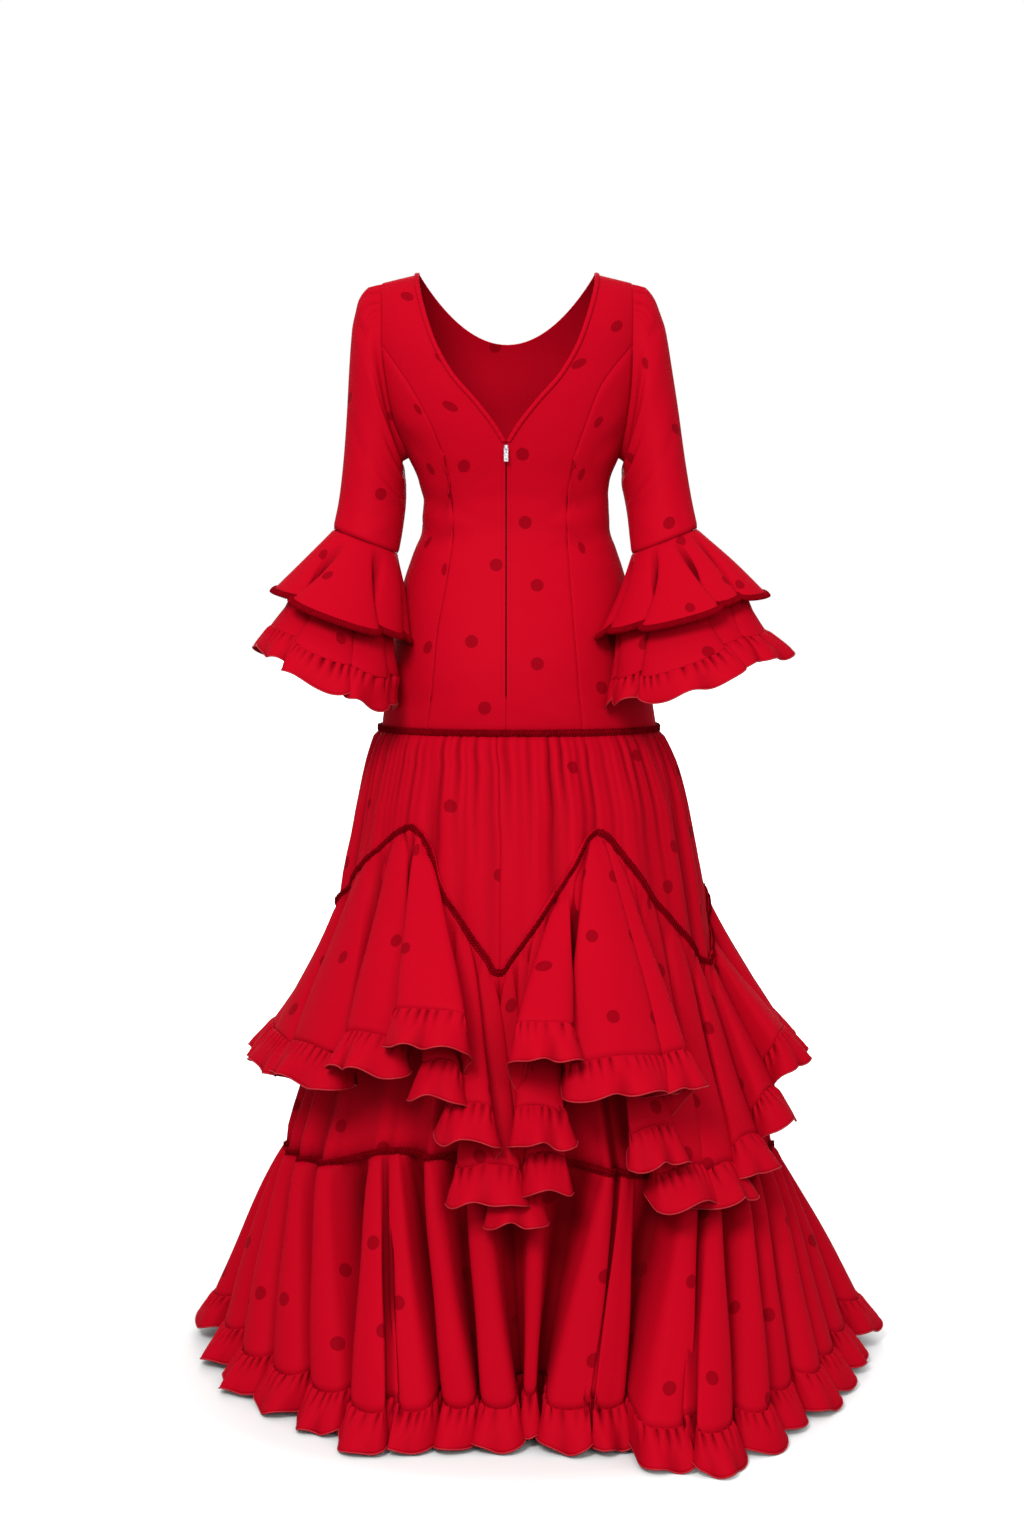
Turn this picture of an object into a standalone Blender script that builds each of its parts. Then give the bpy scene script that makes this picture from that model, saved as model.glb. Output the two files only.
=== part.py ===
"""Flamenco dress in its worn form: fitted bodice, flounced cuffs, gathered skirt, two flounces.

Metres, +Z up, the front of the dress faces -Y and +X is the wearer's left.
The origin is midway between the shoulder seams, at shoulder height.
Angles run from the back (+Y, 0 degrees) through the wearer's left (+X, 90) to the front (180).
"""

import math
from collections import namedtuple

import bmesh
import bpy
from mathutils import Vector

# Cloth and seams
WALL = 0.0019
SEAM_GAP = 0.0003
LAYER_GAP = 0.0006
BRAID_THICKNESS = 0.0022
BRAID_HEIGHT = 0.0110
BRAID_CLEARANCE = 0.0014
HIP_BRAID_COLUMNS = 60
LOWER_BRAID_COLUMNS = 84

# Levels, measured down from the shoulder line
HIP_SEAM_Z = -0.6180
ARMPIT_Z = -0.2500
PRINCESS_TOP_Z = -0.1000
SHOULDER_DROP = 0.0120
SHOULDER_ROUND_Z = -0.1300
SHOULDER_POWER = 2.4
BACK_DOME = 0.50
FRONT_DOME = 0.75

# Neck
NECK_HALF_WIDTH = 0.1205
SHOULDER_TIP_X = 0.1715
ARMHOLE_BASE_X = 0.1690
V_POINT_Z = -0.2340
CENTRE_BACK_X = 0.0010
FRONT_NECK_DEPTH = 0.0850
BINDING_WIDTH = 0.0060
BINDING_THICKNESS = 0.0022
BINDING_LIFT = 0.0003
FRONT_BINDING_LIFT = 0.0012

# Zip
ZIP_SLIT = 0.0018
ZIP_TOP_Z = V_POINT_Z - 0.0040
ZIP_BOTTOM_Z = -0.5730
TAPE_WIDTH = 0.0240
TAPE_THICKNESS = 0.0010
SLIDER_SIZE = (0.0056, 0.0030, 0.0085)
SLIDER_BEVEL = 0.0011
PULL_SIZE = (0.0060, 0.0012, 0.0180)
PULL_BEVEL = 0.0004
PULL_TOP = 0.0009
PULL_HOLE_RADIUS = 0.0009
PIN_SIDES = 10
PULL_HOLE_DROPS = (0.0045, 0.0135)
HINGE_STANDOFF = 0.0016
HINGE_SHARE = 0.22
LUG_SIZE = (0.0022, 0.0036, 0.0024)
LUG_REACH = 0.0010
SLOT_SIZE = (0.0030, 0.0060, 0.0060)
SLOT_DEPTH = 0.0020

# Skirt
BACK_SEAM_DEG = 7.5
BASE_GATHERS = 40
COLUMNS_PER_GATHER = 3
BASE_COLUMNS = BASE_GATHERS * COLUMNS_PER_GATHER
GATHER_DEPTH = 0.0050
MIDDLE_FALLS = (0.48,)
BOTTOM_FALLS = (0.33, 0.67)
FALL_POWER = 1.15
COLUMNS_PER_FOLD = 5
GORE_NAMES = ("back_left", "front_left", "front_right", "back_right")
GORES = len(GORE_NAMES)
RUFFLE_DROP = 0.0400
RUFFLE_FLARE = 0.0330
RUFFLE_VALLEY_SHARE = 0.25
ZIGZAG_BRAID_SHARES = (-0.06, 0.92)
MIDDLE_CURL = (0.09, 0.05)
BOTTOM_CURL = (0.12, 0.07)

Section = namedtuple("Section", "z centre_x half_width back_depth front_depth power")
BODY = (
    Section(-0.6184, -0.0166, 0.1868, 0.134, 0.119, 2.2),
    Section(-0.5813, -0.0157, 0.1818, 0.135, 0.121, 2.2),
    Section(-0.5400, -0.0130, 0.1761, 0.131, 0.122, 2.2),
    Section(-0.4936, -0.0130, 0.1663, 0.120, 0.120, 2.2),
    Section(-0.4447, -0.0116, 0.1582, 0.105, 0.115, 2.2),
    Section(-0.4091, -0.0112, 0.1483, 0.094, 0.110, 2.2),
    Section(-0.3735, -0.0119, 0.1360, 0.084, 0.104, 2.2),
    Section(-0.3461, -0.0123, 0.1270, 0.079, 0.100, 2.2),
    Section(-0.3146, -0.0122, 0.1260, 0.079, 0.101, 2.2),
    Section(-0.2830, -0.0098, 0.1295, 0.084, 0.110, 2.3),
    Section(-0.2480, -0.0088, 0.1438, 0.092, 0.122, 2.4),
    Section(-0.2000, -0.0040, 0.1660, 0.100, 0.126, 2.4),
    Section(-0.1500, -0.0020, 0.1800, 0.104, 0.118, 2.4),
    Section(-0.1000, 0.0000, 0.1860, 0.104, 0.108, 2.4),
    Section(-0.0500, 0.0000, 0.1880, 0.098, 0.096, 2.4),
    Section(0.0100, 0.0000, 0.1880, 0.088, 0.086, 2.4),
)
SKIRT = (
    Section(-1.2000, -0.0300, 0.3130, 0.306, 0.296, 2.0),
    Section(-1.1630, -0.0290, 0.3090, 0.302, 0.290, 2.0),
    Section(-1.1040, -0.0270, 0.2900, 0.284, 0.270, 2.0),
    Section(-1.0000, -0.0250, 0.2640, 0.256, 0.240, 2.0),
    Section(-0.9000, -0.0235, 0.2480, 0.230, 0.214, 2.0),
    Section(-0.8009, -0.0220, 0.2329, 0.206, 0.190, 2.0),
    Section(-0.7639, -0.0220, 0.2253, 0.195, 0.180, 2.0),
    Section(-0.7159, -0.0215, 0.2158, 0.181, 0.166, 2.1),
    Section(-0.6639, -0.0195, 0.2031, 0.162, 0.148, 2.1),
    Section(-0.6400, -0.0178, 0.1950, 0.148, 0.134, 2.2),
    Section(-0.6184, -0.0166, 0.1868, 0.134, 0.119, 2.2),
)

# Princess seams of the bodice back seen square on: level, left, right
BackSeams = namedtuple("BackSeams", "z left right")
BACK_SEAMS = (
    BackSeams(-0.6184, 0.1065, -0.1000),
    BackSeams(-0.5600, 0.0990, -0.0950),
    BackSeams(-0.4850, 0.0920, -0.0890),
    BackSeams(-0.4180, 0.0800, -0.0840),
    BackSeams(-0.3680, 0.0730, -0.0810),
    BackSeams(-0.3400, 0.0720, -0.0800),
    BackSeams(-0.3080, 0.0750, -0.0810),
    BackSeams(-0.2600, 0.0830, -0.0890),
    BackSeams(-0.2080, 0.1030, -0.1060),
    BackSeams(-0.1600, 0.1290, -0.1250),
    BackSeams(-0.1000, 0.1690, -0.1690),
)

# Neck edge of the back: level, half width
NeckEdge = namedtuple("NeckEdge", "z half_width")
BACK_NECK = (
    NeckEdge(-0.2340, 0.0000),
    NeckEdge(-0.2130, 0.0130),
    NeckEdge(-0.1820, 0.0370),
    NeckEdge(-0.1410, 0.0720),
    NeckEdge(-0.0940, 0.0970),
    NeckEdge(-0.0470, 0.1120),
    NeckEdge(-0.0200, 0.1180),
    NeckEdge(0.0000, 0.1205),
)

# Cross-section of the neck binding, as shares of its width and thickness
Corner = namedtuple("Corner", "across up")
BINDING_PROFILE = (
    Corner(0.00, 0.00),
    Corner(0.00, 0.60),
    Corner(0.25, 1.00),
    Corner(0.75, 1.00),
    Corner(1.00, 0.60),
    Corner(1.00, 0.00),
)

# Levels of the bodice rows: below the princess top, then up the armhole
SEAM_ROWS = (-0.618, -0.550, -0.485, -0.425, -0.375, -0.330, -0.285, -0.234, -0.180, -0.135, -0.100)
ARMHOLE_ROWS = (0.30, 0.58, 0.82, 1.00)
ARMHOLE_STEPS = 4
PANEL_COLUMNS = 4
FRONT_COLUMNS = 10
FRONT_NECK_SHARES = (0.0, 0.30, 0.58, 0.82, 1.0)

# Rows of the under-skirt: share of its fall, share of the gather depth
BaseRow = namedtuple("BaseRow", "part gather")
BASE_ROWS = (
    BaseRow(0.00, 0.00),
    BaseRow(0.08, 1.00),
    BaseRow(0.24, 0.15),
    BaseRow(0.60, 0.00),
    BaseRow(1.00, 0.00),
)

# Zigzag seam of the middle flounce, as degrees round the skirt and level
SeamPoint = namedtuple("SeamPoint", "degrees z")
ZIGZAG = (
    SeamPoint(-70.0, -0.9200),
    SeamPoint(-45.0, -0.8350),
    SeamPoint(-24.0, -0.7380),
    SeamPoint(-8.0, -0.8200),
    SeamPoint(7.5, -0.9150),
    SeamPoint(22.0, -0.8250),
    SeamPoint(38.0, -0.7340),
    SeamPoint(62.0, -0.7900),
    SeamPoint(100.0, -0.8900),
    SeamPoint(125.0, -0.8200),
    SeamPoint(148.0, -0.7600),
    SeamPoint(180.0, -0.8900),
    SeamPoint(212.0, -0.7600),
    SeamPoint(240.0, -0.7700),
    SeamPoint(262.0, -0.8300),
)

# Seam of the bottom flounce, as degrees round the skirt and level
LOWER_SEAM = (
    SeamPoint(-90.0, -1.1800),
    SeamPoint(-32.0, -1.1620),
    SeamPoint(0.0, -1.1320),
    SeamPoint(30.0, -1.1320),
    SeamPoint(56.0, -1.1680),
    SeamPoint(90.0, -1.1860),
    SeamPoint(180.0, -1.1600),
)

# Where the hem angle of a flounce hangs from on its seam: hem degrees, seam degrees
Hang = namedtuple("Hang", "hem seam")
MIDDLE_HANG = (
    Hang(-90.0, -97.0),
    Hang(-50.0, -68.0),
    Hang(-19.0, -25.0),
    Hang(7.0, 7.5),
    Hang(27.0, 37.0),
    Hang(72.0, 84.0),
    Hang(110.0, 114.0),
    Hang(180.0, 180.0),
    Hang(240.0, 238.0),
)
BOTTOM_HANG = (
    Hang(-90.0, -86.0),
    Hang(2.5, 7.5),
    Hang(90.0, 93.0),
    Hang(180.0, 181.0),
)

# Folds of each flounce from the back seam round the left: crest angle and reach, valley reach, hem
Fold = namedtuple("Fold", "crest_deg crest_reach valley_reach hem_z")
MIDDLE_FOLDS = (
    Fold(11.5, 0.374, 0.348, -1.140),
    Fold(20.0, 0.370, 0.346, -1.062),
    Fold(29.0, 0.368, 0.338, -0.985),
    Fold(38.5, 0.360, 0.330, -1.006),
    Fold(48.0, 0.362, 0.326, -1.034),
    Fold(59.0, 0.366, 0.326, -1.048),
    Fold(71.5, 0.368, 0.324, -1.052),
    Fold(87.0, 0.366, 0.322, -1.052),
    Fold(104.0, 0.364, 0.320, -1.090),
    Fold(121.0, 0.362, 0.316, -1.080),
    Fold(138.0, 0.360, 0.312, -1.040),
    Fold(155.0, 0.358, 0.310, -1.035),
    Fold(171.0, 0.360, 0.310, -1.110),
    Fold(187.0, 0.360, 0.310, -1.120),
    Fold(203.0, 0.358, 0.310, -1.045),
    Fold(220.0, 0.360, 0.312, -1.030),
    Fold(238.0, 0.362, 0.316, -1.055),
    Fold(260.0, 0.368, 0.324, -1.050),
    Fold(278.0, 0.372, 0.328, -1.062),
    Fold(289.0, 0.372, 0.334, -1.113),
    Fold(298.0, 0.374, 0.340, -1.164),
    Fold(307.0, 0.378, 0.342, -1.199),
    Fold(316.0, 0.376, 0.340, -1.178),
    Fold(324.5, 0.372, 0.338, -1.120),
    Fold(333.0, 0.370, 0.336, -1.045),
    Fold(343.0, 0.376, 0.330, -1.040),
    Fold(353.5, 0.372, 0.332, -1.095),
    Fold(362.5, 0.378, 0.342, -1.188),
)
BOTTOM_FOLDS = (
    Fold(8.5, 0.412, 0.365, -1.444),
    Fold(17.5, 0.430, 0.362, -1.446),
    Fold(28.0, 0.462, 0.385, -1.449),
    Fold(39.0, 0.462, 0.384, -1.448),
    Fold(50.5, 0.454, 0.380, -1.447),
    Fold(64.5, 0.449, 0.374, -1.446),
    Fold(79.5, 0.456, 0.376, -1.442),
    Fold(94.5, 0.474, 0.382, -1.432),
    Fold(109.0, 0.462, 0.380, -1.442),
    Fold(124.0, 0.458, 0.376, -1.446),
    Fold(139.0, 0.456, 0.374, -1.447),
    Fold(154.0, 0.454, 0.372, -1.446),
    Fold(168.5, 0.452, 0.370, -1.446),
    Fold(183.5, 0.454, 0.370, -1.447),
    Fold(198.5, 0.454, 0.372, -1.446),
    Fold(213.0, 0.456, 0.374, -1.445),
    Fold(228.0, 0.458, 0.376, -1.446),
    Fold(243.0, 0.456, 0.376, -1.445),
    Fold(257.5, 0.452, 0.374, -1.442),
    Fold(272.0, 0.466, 0.376, -1.427),
    Fold(286.0, 0.444, 0.370, -1.442),
    Fold(299.5, 0.448, 0.372, -1.444),
    Fold(312.0, 0.452, 0.376, -1.446),
    Fold(323.5, 0.492, 0.396, -1.448),
    Fold(333.5, 0.514, 0.410, -1.449),
    Fold(341.5, 0.482, 0.404, -1.448),
    Fold(350.0, 0.414, 0.384, -1.445),
    Fold(358.5, 0.402, 0.360, -1.444),
)
Flounce = namedtuple("Flounce", "folds hang curl centre_x")
MIDDLE = Flounce(MIDDLE_FOLDS, MIDDLE_HANG, MIDDLE_CURL, -0.0270)
BOTTOM = Flounce(BOTTOM_FOLDS, BOTTOM_HANG, BOTTOM_CURL, -0.0370)

# Rings of a sleeve and its cuff: outermost and innermost point, depth centre, half depth
ArmRing = namedtuple("ArmRing", "outer_x outer_z inner_x inner_z centre_y half_depth")
LEFT_SLEEVE = (
    ArmRing(0.1959, -0.0188, 0.1384, -0.2557, 0.001, 0.058),
    ArmRing(0.2068, -0.0421, 0.1390, -0.2721, 0.001, 0.062),
    ArmRing(0.2115, -0.0752, 0.1383, -0.2887, 0.003, 0.061),
    ArmRing(0.2154, -0.1330, 0.1381, -0.3011, 0.006, 0.057),
    ArmRing(0.2178, -0.1880, 0.1386, -0.3150, 0.010, 0.054),
    ArmRing(0.2214, -0.2484, 0.1403, -0.3315, 0.016, 0.050),
    ArmRing(0.2270, -0.3060, 0.1434, -0.3549, 0.023, 0.047),
    ArmRing(0.2346, -0.3483, 0.1478, -0.3808, 0.032, 0.046),
)
RIGHT_SLEEVE = (
    ArmRing(0.1944, -0.0188, 0.1547, -0.2585, 0.001, 0.058),
    ArmRing(0.2067, -0.0422, 0.1560, -0.2722, 0.002, 0.062),
    ArmRing(0.2160, -0.0756, 0.1572, -0.2888, 0.006, 0.061),
    ArmRing(0.2251, -0.1336, 0.1596, -0.3014, 0.012, 0.057),
    ArmRing(0.2327, -0.1888, 0.1619, -0.3153, 0.020, 0.054),
    ArmRing(0.2405, -0.2548, 0.1640, -0.3321, 0.032, 0.050),
    ArmRing(0.2484, -0.3095, 0.1660, -0.3554, 0.044, 0.047),
    ArmRing(0.2555, -0.3483, 0.1681, -0.3813, 0.057, 0.046),
)
LEFT_CUFF = (
    ArmRing(0.2344, -0.3483, 0.1477, -0.3809, 0.032, 0.046),
    ArmRing(0.2722, -0.3921, 0.1407, -0.4337, 0.062, 0.056),
    ArmRing(0.3036, -0.4310, 0.1418, -0.4894, 0.094, 0.070),
)
LEFT_LOWER_CUFF = (
    ArmRing(0.2870, -0.4500, 0.1555, -0.5050, 0.098, 0.048),
    ArmRing(0.3040, -0.4750, 0.1535, -0.5343, 0.098, 0.066),
    ArmRing(0.3201, -0.5038, 0.1573, -0.5726, 0.100, 0.076),
)
RIGHT_CUFF = (
    ArmRing(0.2553, -0.3484, 0.1680, -0.3813, 0.057, 0.046),
    ArmRing(0.2977, -0.3925, 0.1529, -0.4337, 0.092, 0.055),
    ArmRing(0.3290, -0.4336, 0.1331, -0.4836, 0.124, 0.064),
)
RIGHT_LOWER_CUFF = (
    ArmRing(0.3100, -0.4530, 0.1500, -0.5080, 0.133, 0.044),
    ArmRing(0.3240, -0.4783, 0.1480, -0.5387, 0.130, 0.061),
    ArmRing(0.3520, -0.5071, 0.1420, -0.5688, 0.134, 0.070),
)
CUFF_FOLDS = 6
CUFF_COLUMNS = CUFF_FOLDS * COLUMNS_PER_FOLD
CUFF_WAVE = 0.0110
CUFF_CURL = 0.10
UPPER_CUFF_WAVES = (0.0, 0.45, 1.0)
LOWER_CUFF_WAVES = (0.75, 0.95, 1.25)
CUFF_TILT = (0.35, 0.10)
CUFF_BRAID_HEIGHT = 0.0090
CUFF_BRAID_CLEARANCE = 0.0010
CUFF_EASE = 0.0010
HEAD_SHARE = 0.20

# First rows of a sleeve: share of the arm ring against the armhole, step out of it, gather
SleeveRow = namedtuple("SleeveRow", "blend step_out gather")
SLEEVE_HEAD = (
    SleeveRow(0.45, 0.012, 0.0025),
    SleeveRow(0.80, 0.018, 0.0025),
    SleeveRow(1.00, 0.000, 0.0025),
    SleeveRow(1.00, 0.000, 0.0000),
)

RED = (0.62, 0.004, 0.018, 1.0)
DARK_RED = (0.16, 0.002, 0.008, 1.0)
TAPE_RED = (0.10, 0.012, 0.014, 1.0)
SILVER = (0.72, 0.72, 0.74, 1.0)


def make_collection(name, hidden=False):
    group = bpy.data.collections.new(name)
    bpy.context.scene.collection.children.link(group)
    group.hide_render = hidden
    return group


def make_material(name, colour, roughness, metallic=0.0):
    material = bpy.data.materials.new(name)
    material.use_nodes = True
    shader = material.node_tree.nodes["Principled BSDF"]
    shader.inputs["Base Color"].default_value = colour
    shader.inputs["Roughness"].default_value = roughness
    shader.inputs["Metallic"].default_value = metallic
    material.diffuse_color = colour
    return material


def smooth_row(rows, key):
    """Values of a table at a key, by monotone cubic steps between its rows."""
    rows = sorted(rows)
    if key <= rows[0][0]:
        return rows[0][1:]
    if key >= rows[-1][0]:
        return rows[-1][1:]
    index = 0
    while rows[index + 1][0] < key:
        index += 1
    low, high = rows[index], rows[index + 1]
    span = high[0] - low[0]
    part = (key - low[0]) / span
    values = []
    for column in range(1, len(low)):
        step = (high[column] - low[column]) / span
        slopes = []
        for at in (index, index + 1):
            if 0 < at < len(rows) - 1:
                before = (rows[at][column] - rows[at - 1][column]) / (rows[at][0] - rows[at - 1][0])
                after = (rows[at + 1][column] - rows[at][column]) / (rows[at + 1][0] - rows[at][0])
                slopes.append(0.0 if before * after <= 0 else 2 * before * after / (before + after))
            else:
                slopes.append(step)
        square, cube = part * part, part * part * part
        values.append(
            (2 * cube - 3 * square + 1) * low[column]
            + (cube - 2 * square + part) * span * slopes[0]
            + (3 * square - 2 * cube) * high[column]
            + (cube - square) * span * slopes[1]
        )
    return tuple(values)


def smooth_turn(rows, degrees):
    """The single value of a table of degrees, repeated once each way round."""
    first = rows[0][0]
    wrapped = (degrees - first) % 360.0 + first
    turned = [(row[0] + 360.0 * turn, row[1]) for turn in (-1, 0, 1) for row in rows]
    return smooth_row(turned, wrapped)[0]


def smooth_hang(rows, degrees):
    """Seam angle under a hem angle; both grow by 360 each turn."""
    turned = [(row[0] + 360.0 * turn, row[1] + 360.0 * turn) for turn in (-1, 0, 1, 2) for row in rows]
    return smooth_row(turned, degrees)[0]


def signed_power(value, power):
    return math.copysign(abs(value) ** power, value)


def section_point(rows, degrees, z, outward=0.0):
    """A point on the body or skirt form at an angle and level."""
    centre_x, half_width, back, front, power = smooth_row(rows, z)
    angle = math.radians(degrees)
    depth = back if math.cos(angle) > 0 else front
    x = centre_x + (half_width + outward) * signed_power(math.sin(angle), 2 / power)
    y = (depth + outward) * signed_power(math.cos(angle), 2 / power)
    return Vector((x, y, z))


def shoulder_height(x):
    rise = (SHOULDER_TIP_X - abs(x)) / (SHOULDER_TIP_X - NECK_HALF_WIDTH)
    return SHOULDER_DROP * (rise - 1.0)


def bodice_point(degrees, z):
    """The body form, closed over towards the shoulder seam."""
    point = section_point(BODY, degrees, z)
    top = shoulder_height(point.x)
    climb = (z - SHOULDER_ROUND_Z) / (top - SHOULDER_ROUND_Z)
    climb = min(1.0, max(0.0, climb))
    dome = BACK_DOME if point.y > 0 else FRONT_DOME
    point.y *= max(0.0, 1.0 - climb ** SHOULDER_POWER) ** dome
    return point


def bodice_angle(x, z, front=False):
    """Angle on the bodice at which the form has a given x."""
    centre_x, half_width, back, front_depth, power = smooth_row(BODY, z)
    reach = max(-1.0, min(1.0, (x - centre_x) / half_width))
    degrees = math.degrees(math.asin(signed_power(reach, power / 2)))
    return 180.0 - degrees if front else degrees


def lerp(start, end, part):
    return start + (end - start) * part


def bodice_rows():
    rows = [(z, 0.0) for z in SEAM_ROWS]
    for climb in ARMHOLE_ROWS:
        rows.append((lerp(PRINCESS_TOP_Z, -SHOULDER_DROP, climb), climb))
    return rows


def armhole_x(z, side):
    part = (z - PRINCESS_TOP_Z) / (-SHOULDER_DROP - PRINCESS_TOP_Z)
    return side * lerp(ARMHOLE_BASE_X, SHOULDER_TIP_X, min(1.0, part))


def princess_x(z, side):
    if z > PRINCESS_TOP_Z - 1e-6:
        return armhole_x(z, side)
    left, right = smooth_row(BACK_SEAMS, z)
    return left if side > 0 else right


def trim(grid, sides="lrbt"):
    """Draw the named edges of a grid of points in by half a seam gap."""
    half = SEAM_GAP / 2
    moved = [[point.copy() for point in line] for line in grid]

    def shift(row, column, towards):
        step = grid[towards[0]][towards[1]] - grid[row][column]
        moved[row][column] += step.normalized() * half

    last_row, last_column = len(grid) - 1, len(grid[0]) - 1
    for row in range(last_row + 1):
        if "l" in sides:
            shift(row, 0, (row, 1))
        if "r" in sides:
            shift(row, last_column, (row, last_column - 1))
    for column in range(last_column + 1):
        if "t" in sides:
            shift(0, column, (1, column))
        if "b" in sides:
            shift(last_row, column, (last_row - 1, column))
    return moved


def inner_wall(grid, closed):
    """Points of a grid moved in by the wall; rows run down and columns run by growing angle."""
    rows, columns = len(grid), len(grid[0])
    inner = []
    for row in range(rows):
        line = []
        for column in range(columns):
            before, after = column - 1, column + 1
            if closed:
                before, after = before % columns, after % columns
            else:
                before, after = max(0, before), min(columns - 1, after)
            across = grid[row][after] - grid[row][before]
            down = grid[min(rows - 1, row + 1)][column] - grid[max(0, row - 1)][column]
            line.append(grid[row][column] - across.cross(down).normalized() * WALL)
        inner.append(line)
    return inner


def add_mesh(name, vertices, faces, material, group):
    mesh = bpy.data.meshes.new(name)
    mesh.from_pydata([tuple(vertex) for vertex in vertices], [], faces)
    mesh.materials.append(material)
    item = bpy.data.objects.new(name, mesh)
    group.objects.link(item)
    return item


def halves(first, second, third, fourth):
    """The two triangles of a four-sided face, parted from its first corner to its third."""
    return [(first, second, third), (first, third, fourth)]


def distance(vertices, start, end):
    return (Vector(vertices[start]) - Vector(vertices[end])).length


def add_cloth(name, outer, inner, closed, material, group, sides="lrbt"):
    """A wall lofted between the outer and inner points of a panel, with its edges turned over."""
    if closed:
        sides = sides.replace("l", "").replace("r", "")
    outer, inner = trim(outer, sides), trim(inner, sides)
    rows, columns = len(outer), len(outer[0])
    vertices = [point for line in outer + inner for point in line]
    behind = rows * columns
    faces = []
    for row in range(rows - 1):
        for column in range(columns if closed else columns - 1):
            after = (column + 1) % columns
            corner, beside = row * columns + column, row * columns + after
            below, across = corner + columns, beside + columns
            quad = (corner, beside, across, below)
            if distance(vertices, corner, across) > distance(vertices, beside, below):
                quad = (beside, across, below, corner)
            for face in halves(*quad):
                faces.append(face)
                faces.append(tuple(index + behind for index in reversed(face)))
    for column in range(columns if closed else columns - 1):
        after = (column + 1) % columns
        faces += halves(column, behind + column, behind + after, after)
        low, low_after = (rows - 1) * columns + column, (rows - 1) * columns + after
        faces += halves(low, low_after, behind + low_after, behind + low)
    if not closed:
        for row in range(rows - 1):
            first, below = row * columns, (row + 1) * columns
            faces += halves(first, below, behind + below, behind + first)
            last, last_below = first + columns - 1, below + columns - 1
            faces += halves(last, behind + last, behind + last_below, last_below)
    return add_mesh(name, vertices, faces, material, group)


def add_band(name, sections, closed, material, group):
    """A closed bar lofted through like sections, ringed or capped."""
    count, size = len(sections), len(sections[0])
    vertices = [point for section in sections for point in section]
    faces = []
    for index in range(count if closed else count - 1):
        after = (index + 1) % count
        for corner in range(size):
            beside = (corner + 1) % size
            faces.append(
                (
                    index * size + corner,
                    after * size + corner,
                    after * size + beside,
                    index * size + beside,
                )
            )
    if not closed:
        faces.append(tuple(range(size)))
        faces.append(tuple((count - 1) * size + corner for corner in reversed(range(size))))
    item = add_mesh(name, vertices, faces, material, group)
    face_outwards(item)
    return item


def face_outwards(item):
    work = bmesh.new()
    work.from_mesh(item.data)
    bmesh.ops.recalc_face_normals(work, faces=work.faces)
    work.to_mesh(item.data)
    work.free()


def skirt_radial(degrees):
    angle = math.radians(degrees)
    return Vector((math.sin(angle), math.cos(angle), 0.0))


def base_form(degrees, row):
    """A row of the gathered under-skirt; soft gathers fade out below the hip seam."""
    z = lerp(HIP_SEAM_Z, lower_z(degrees), row.part)
    phase = (degrees - BACK_SEAM_DEG) / 360.0 * BASE_GATHERS
    wave = GATHER_DEPTH * row.gather * (0.5 - 0.5 * math.cos(2 * math.pi * phase))
    return section_point(SKIRT, degrees, z) + skirt_radial(degrees) * wave


def base_point(degrees, z, outward=0.0):
    """A point on the flat faces of the under-skirt between its rows, moved out."""
    share = (HIP_SEAM_Z - z) / (HIP_SEAM_Z - lower_z(degrees))
    share = min(1.0, max(0.0, share))
    index = 0
    while BASE_ROWS[index + 1].part < share and index < len(BASE_ROWS) - 2:
        index += 1
    low, high = BASE_ROWS[index], BASE_ROWS[index + 1]
    part = (share - low.part) / (high.part - low.part)
    point = lerp(base_form(degrees, low), base_form(degrees, high), part)
    return point + skirt_radial(degrees) * outward


def zigzag_z(degrees):
    return smooth_turn(ZIGZAG, degrees)


def zigzag_stretch(degrees):
    """Upright height of a unit laid square to the zigzag seam."""
    before = base_point(degrees - 1.0, zigzag_z(degrees - 1.0))
    after = base_point(degrees + 1.0, zigzag_z(degrees + 1.0))
    along = after - before
    return along.length / math.hypot(along.x, along.y)


def lower_z(degrees):
    return smooth_turn(LOWER_SEAM, degrees)


def fold_valley(folds, index):
    """Hem angle, reach and level of the valley before a fold."""
    count = len(folds)
    fold, turn = folds[index % count], 360.0 * (index // count)
    last, last_turn = folds[(index - 1) % count], 360.0 * ((index - 1) // count)
    angle = (fold.crest_deg + turn + last.crest_deg + last_turn) / 2
    return angle, fold.valley_reach, (fold.hem_z + last.hem_z) / 2


def hem_point(folds, place, curl):
    """Hem angle, reach and level at a place counted in folds; curl tucks the sides under the crest."""
    index = math.floor(place + 1e-9)
    part = place - index - 0.5
    fold, turn = folds[index % len(folds)], 360.0 * (index // len(folds))
    start, end = fold_valley(folds, index), fold_valley(folds, index + 1)
    crest = fold.crest_deg + turn
    if part < 0:
        degrees, valley, valley_z = lerp(start[0], crest, 2 * part + 1), start[1], start[2]
    else:
        degrees, valley, valley_z = lerp(crest, end[0], 2 * part), end[1], end[2]
    wave = 0.5 + 0.5 * math.cos(2 * math.pi * part)
    width = end[0] - start[0]
    degrees += width * (curl[0] * math.sin(4 * math.pi * part) + curl[1] * math.sin(2 * math.pi * part))
    return degrees, lerp(valley, fold.crest_reach, wave), lerp(valley_z, fold.hem_z, wave), wave


def skirt_at(degrees, reach, z, centre_x):
    return Vector((centre_x, 0.0, z)) + skirt_radial(degrees) * reach


def seam_angle(flounce, place):
    """Angle on the seam from which a place on the hem hangs."""
    return smooth_hang(flounce.hang, hem_point(flounce.folds, place, (0.0, 0.0))[0])


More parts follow.
